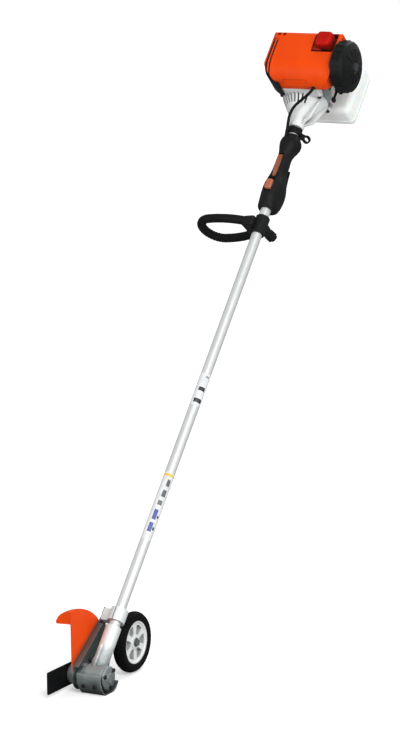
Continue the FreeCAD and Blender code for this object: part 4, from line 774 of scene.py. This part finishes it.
def add_camera():
    flat = math.cos(CAMERA_ELEVATION)
    back = Vector((flat * math.cos(CAMERA_AZIMUTH), flat * math.sin(CAMERA_AZIMUTH),
                   math.sin(CAMERA_ELEVATION)))
    right = Vector((-math.sin(CAMERA_AZIMUTH), math.cos(CAMERA_AZIMUTH), 0.0))
    up = back.cross(right)
    turn = Matrix.Rotation(CAMERA_ROLL, 3, back)
    right, up = turn @ right, turn @ up
    data = bpy.data.cameras.new("camera")
    data.lens = CAMERA_LENS
    camera = bpy.data.objects.new("camera", data)
    bpy.context.scene.collection.objects.link(camera)
    place = CAMERA_TARGET + back * CAMERA_DISTANCE
    camera.matrix_world = Matrix((
        (right.x, up.x, back.x, place.x), (right.y, up.y, back.y, place.y),
        (right.z, up.z, back.z, place.z), (0, 0, 0, 1)))
    bpy.context.scene.camera = camera


def add_light(name, place, aim, size, power):
    data = bpy.data.lights.new(name, "AREA")
    data.size = size
    data.energy = power
    lamp = bpy.data.objects.new(name, data)
    bpy.context.scene.collection.objects.link(lamp)
    lamp.location = place
    lamp.rotation_euler = (Vector(aim) - Vector(place)).to_track_quat("-Z", "Y").to_euler()


def camera_share(surface_tree):
    return surface_tree.nodes.new("ShaderNodeLightPath").outputs["Is Camera Ray"]


def add_world():
    """A white backdrop for the camera that lights the scene more softly."""
    world = bpy.data.worlds.new("studio")
    world.use_nodes = True
    background = world.node_tree.nodes["Background"]
    background.inputs["Color"].default_value = (1.0, 1.0, 1.0, 1.0)
    strength = world.node_tree.nodes.new("ShaderNodeMapRange")
    strength.inputs["To Min"].default_value = SKY_LIGHT
    strength.inputs["To Max"].default_value = 1.0
    links = world.node_tree.links
    links.new(camera_share(world.node_tree), strength.inputs["Value"])
    links.new(strength.outputs["Result"], background.inputs["Strength"])
    bpy.context.scene.world = world
    bpy.context.scene.view_settings.view_transform = "Standard"


def add_floor():
    """A plain pale floor, a little brighter to the camera than it is to the machine."""
    build = bmesh.new()
    bmesh.ops.create_grid(build, x_segments=1, y_segments=1, size=60.0)
    mesh = bpy.data.meshes.new("floor")
    build.to_mesh(mesh)
    build.free()
    floor = bpy.data.objects.new("floor", mesh)
    bpy.context.scene.collection.objects.link(floor)
    paint = Surface("floor_paint")
    seen = camera_share(paint.tree)
    patch = paint.span(paint.noise(1.6), 0.3, 0.7, 0.0, 1.0)
    pale = paint.mix(patch, (0.90, 0.90, 0.905), (0.86, 0.86, 0.865))
    far = paint.node("ShaderNodeVectorMath", operation="LENGTH")
    paint.link(paint.place, far.inputs[0])
    glow = paint.span(far.outputs["Value"], *FLOOR_FADE, *FLOOR_GLOW)
    paint.set(Base_Color=paint.mix(seen, FLOOR_BOUNCE, pale), Roughness=0.9, Specular_IOR_Level=0.1,
              Emission_Color=(1.0, 1.0, 1.0), Emission_Strength=paint.maths("MULTIPLY", seen, glow))
    mesh.materials.append(paint.material)


def add_studio():
    add_world()
    add_floor()
    for name, light in LIGHTS.items():
        add_light(name, *light)


paint_cad_nodes()
make_tyre()
make_loop()
make_rope()
make_pull()
make_tank_seam()
# painted shade: two dark strips stand for the shadow across the shroud's end
make_trim("shroud_shade_strip_outer", -70.4, -65.6)
make_trim("shroud_shade_strip_inner", -60.5, -57.5)
make_label("upper_label", "upper_label", 704, 792)
make_label("lower_label", "lower_label", 346, 522)
add_camera()
add_studio()
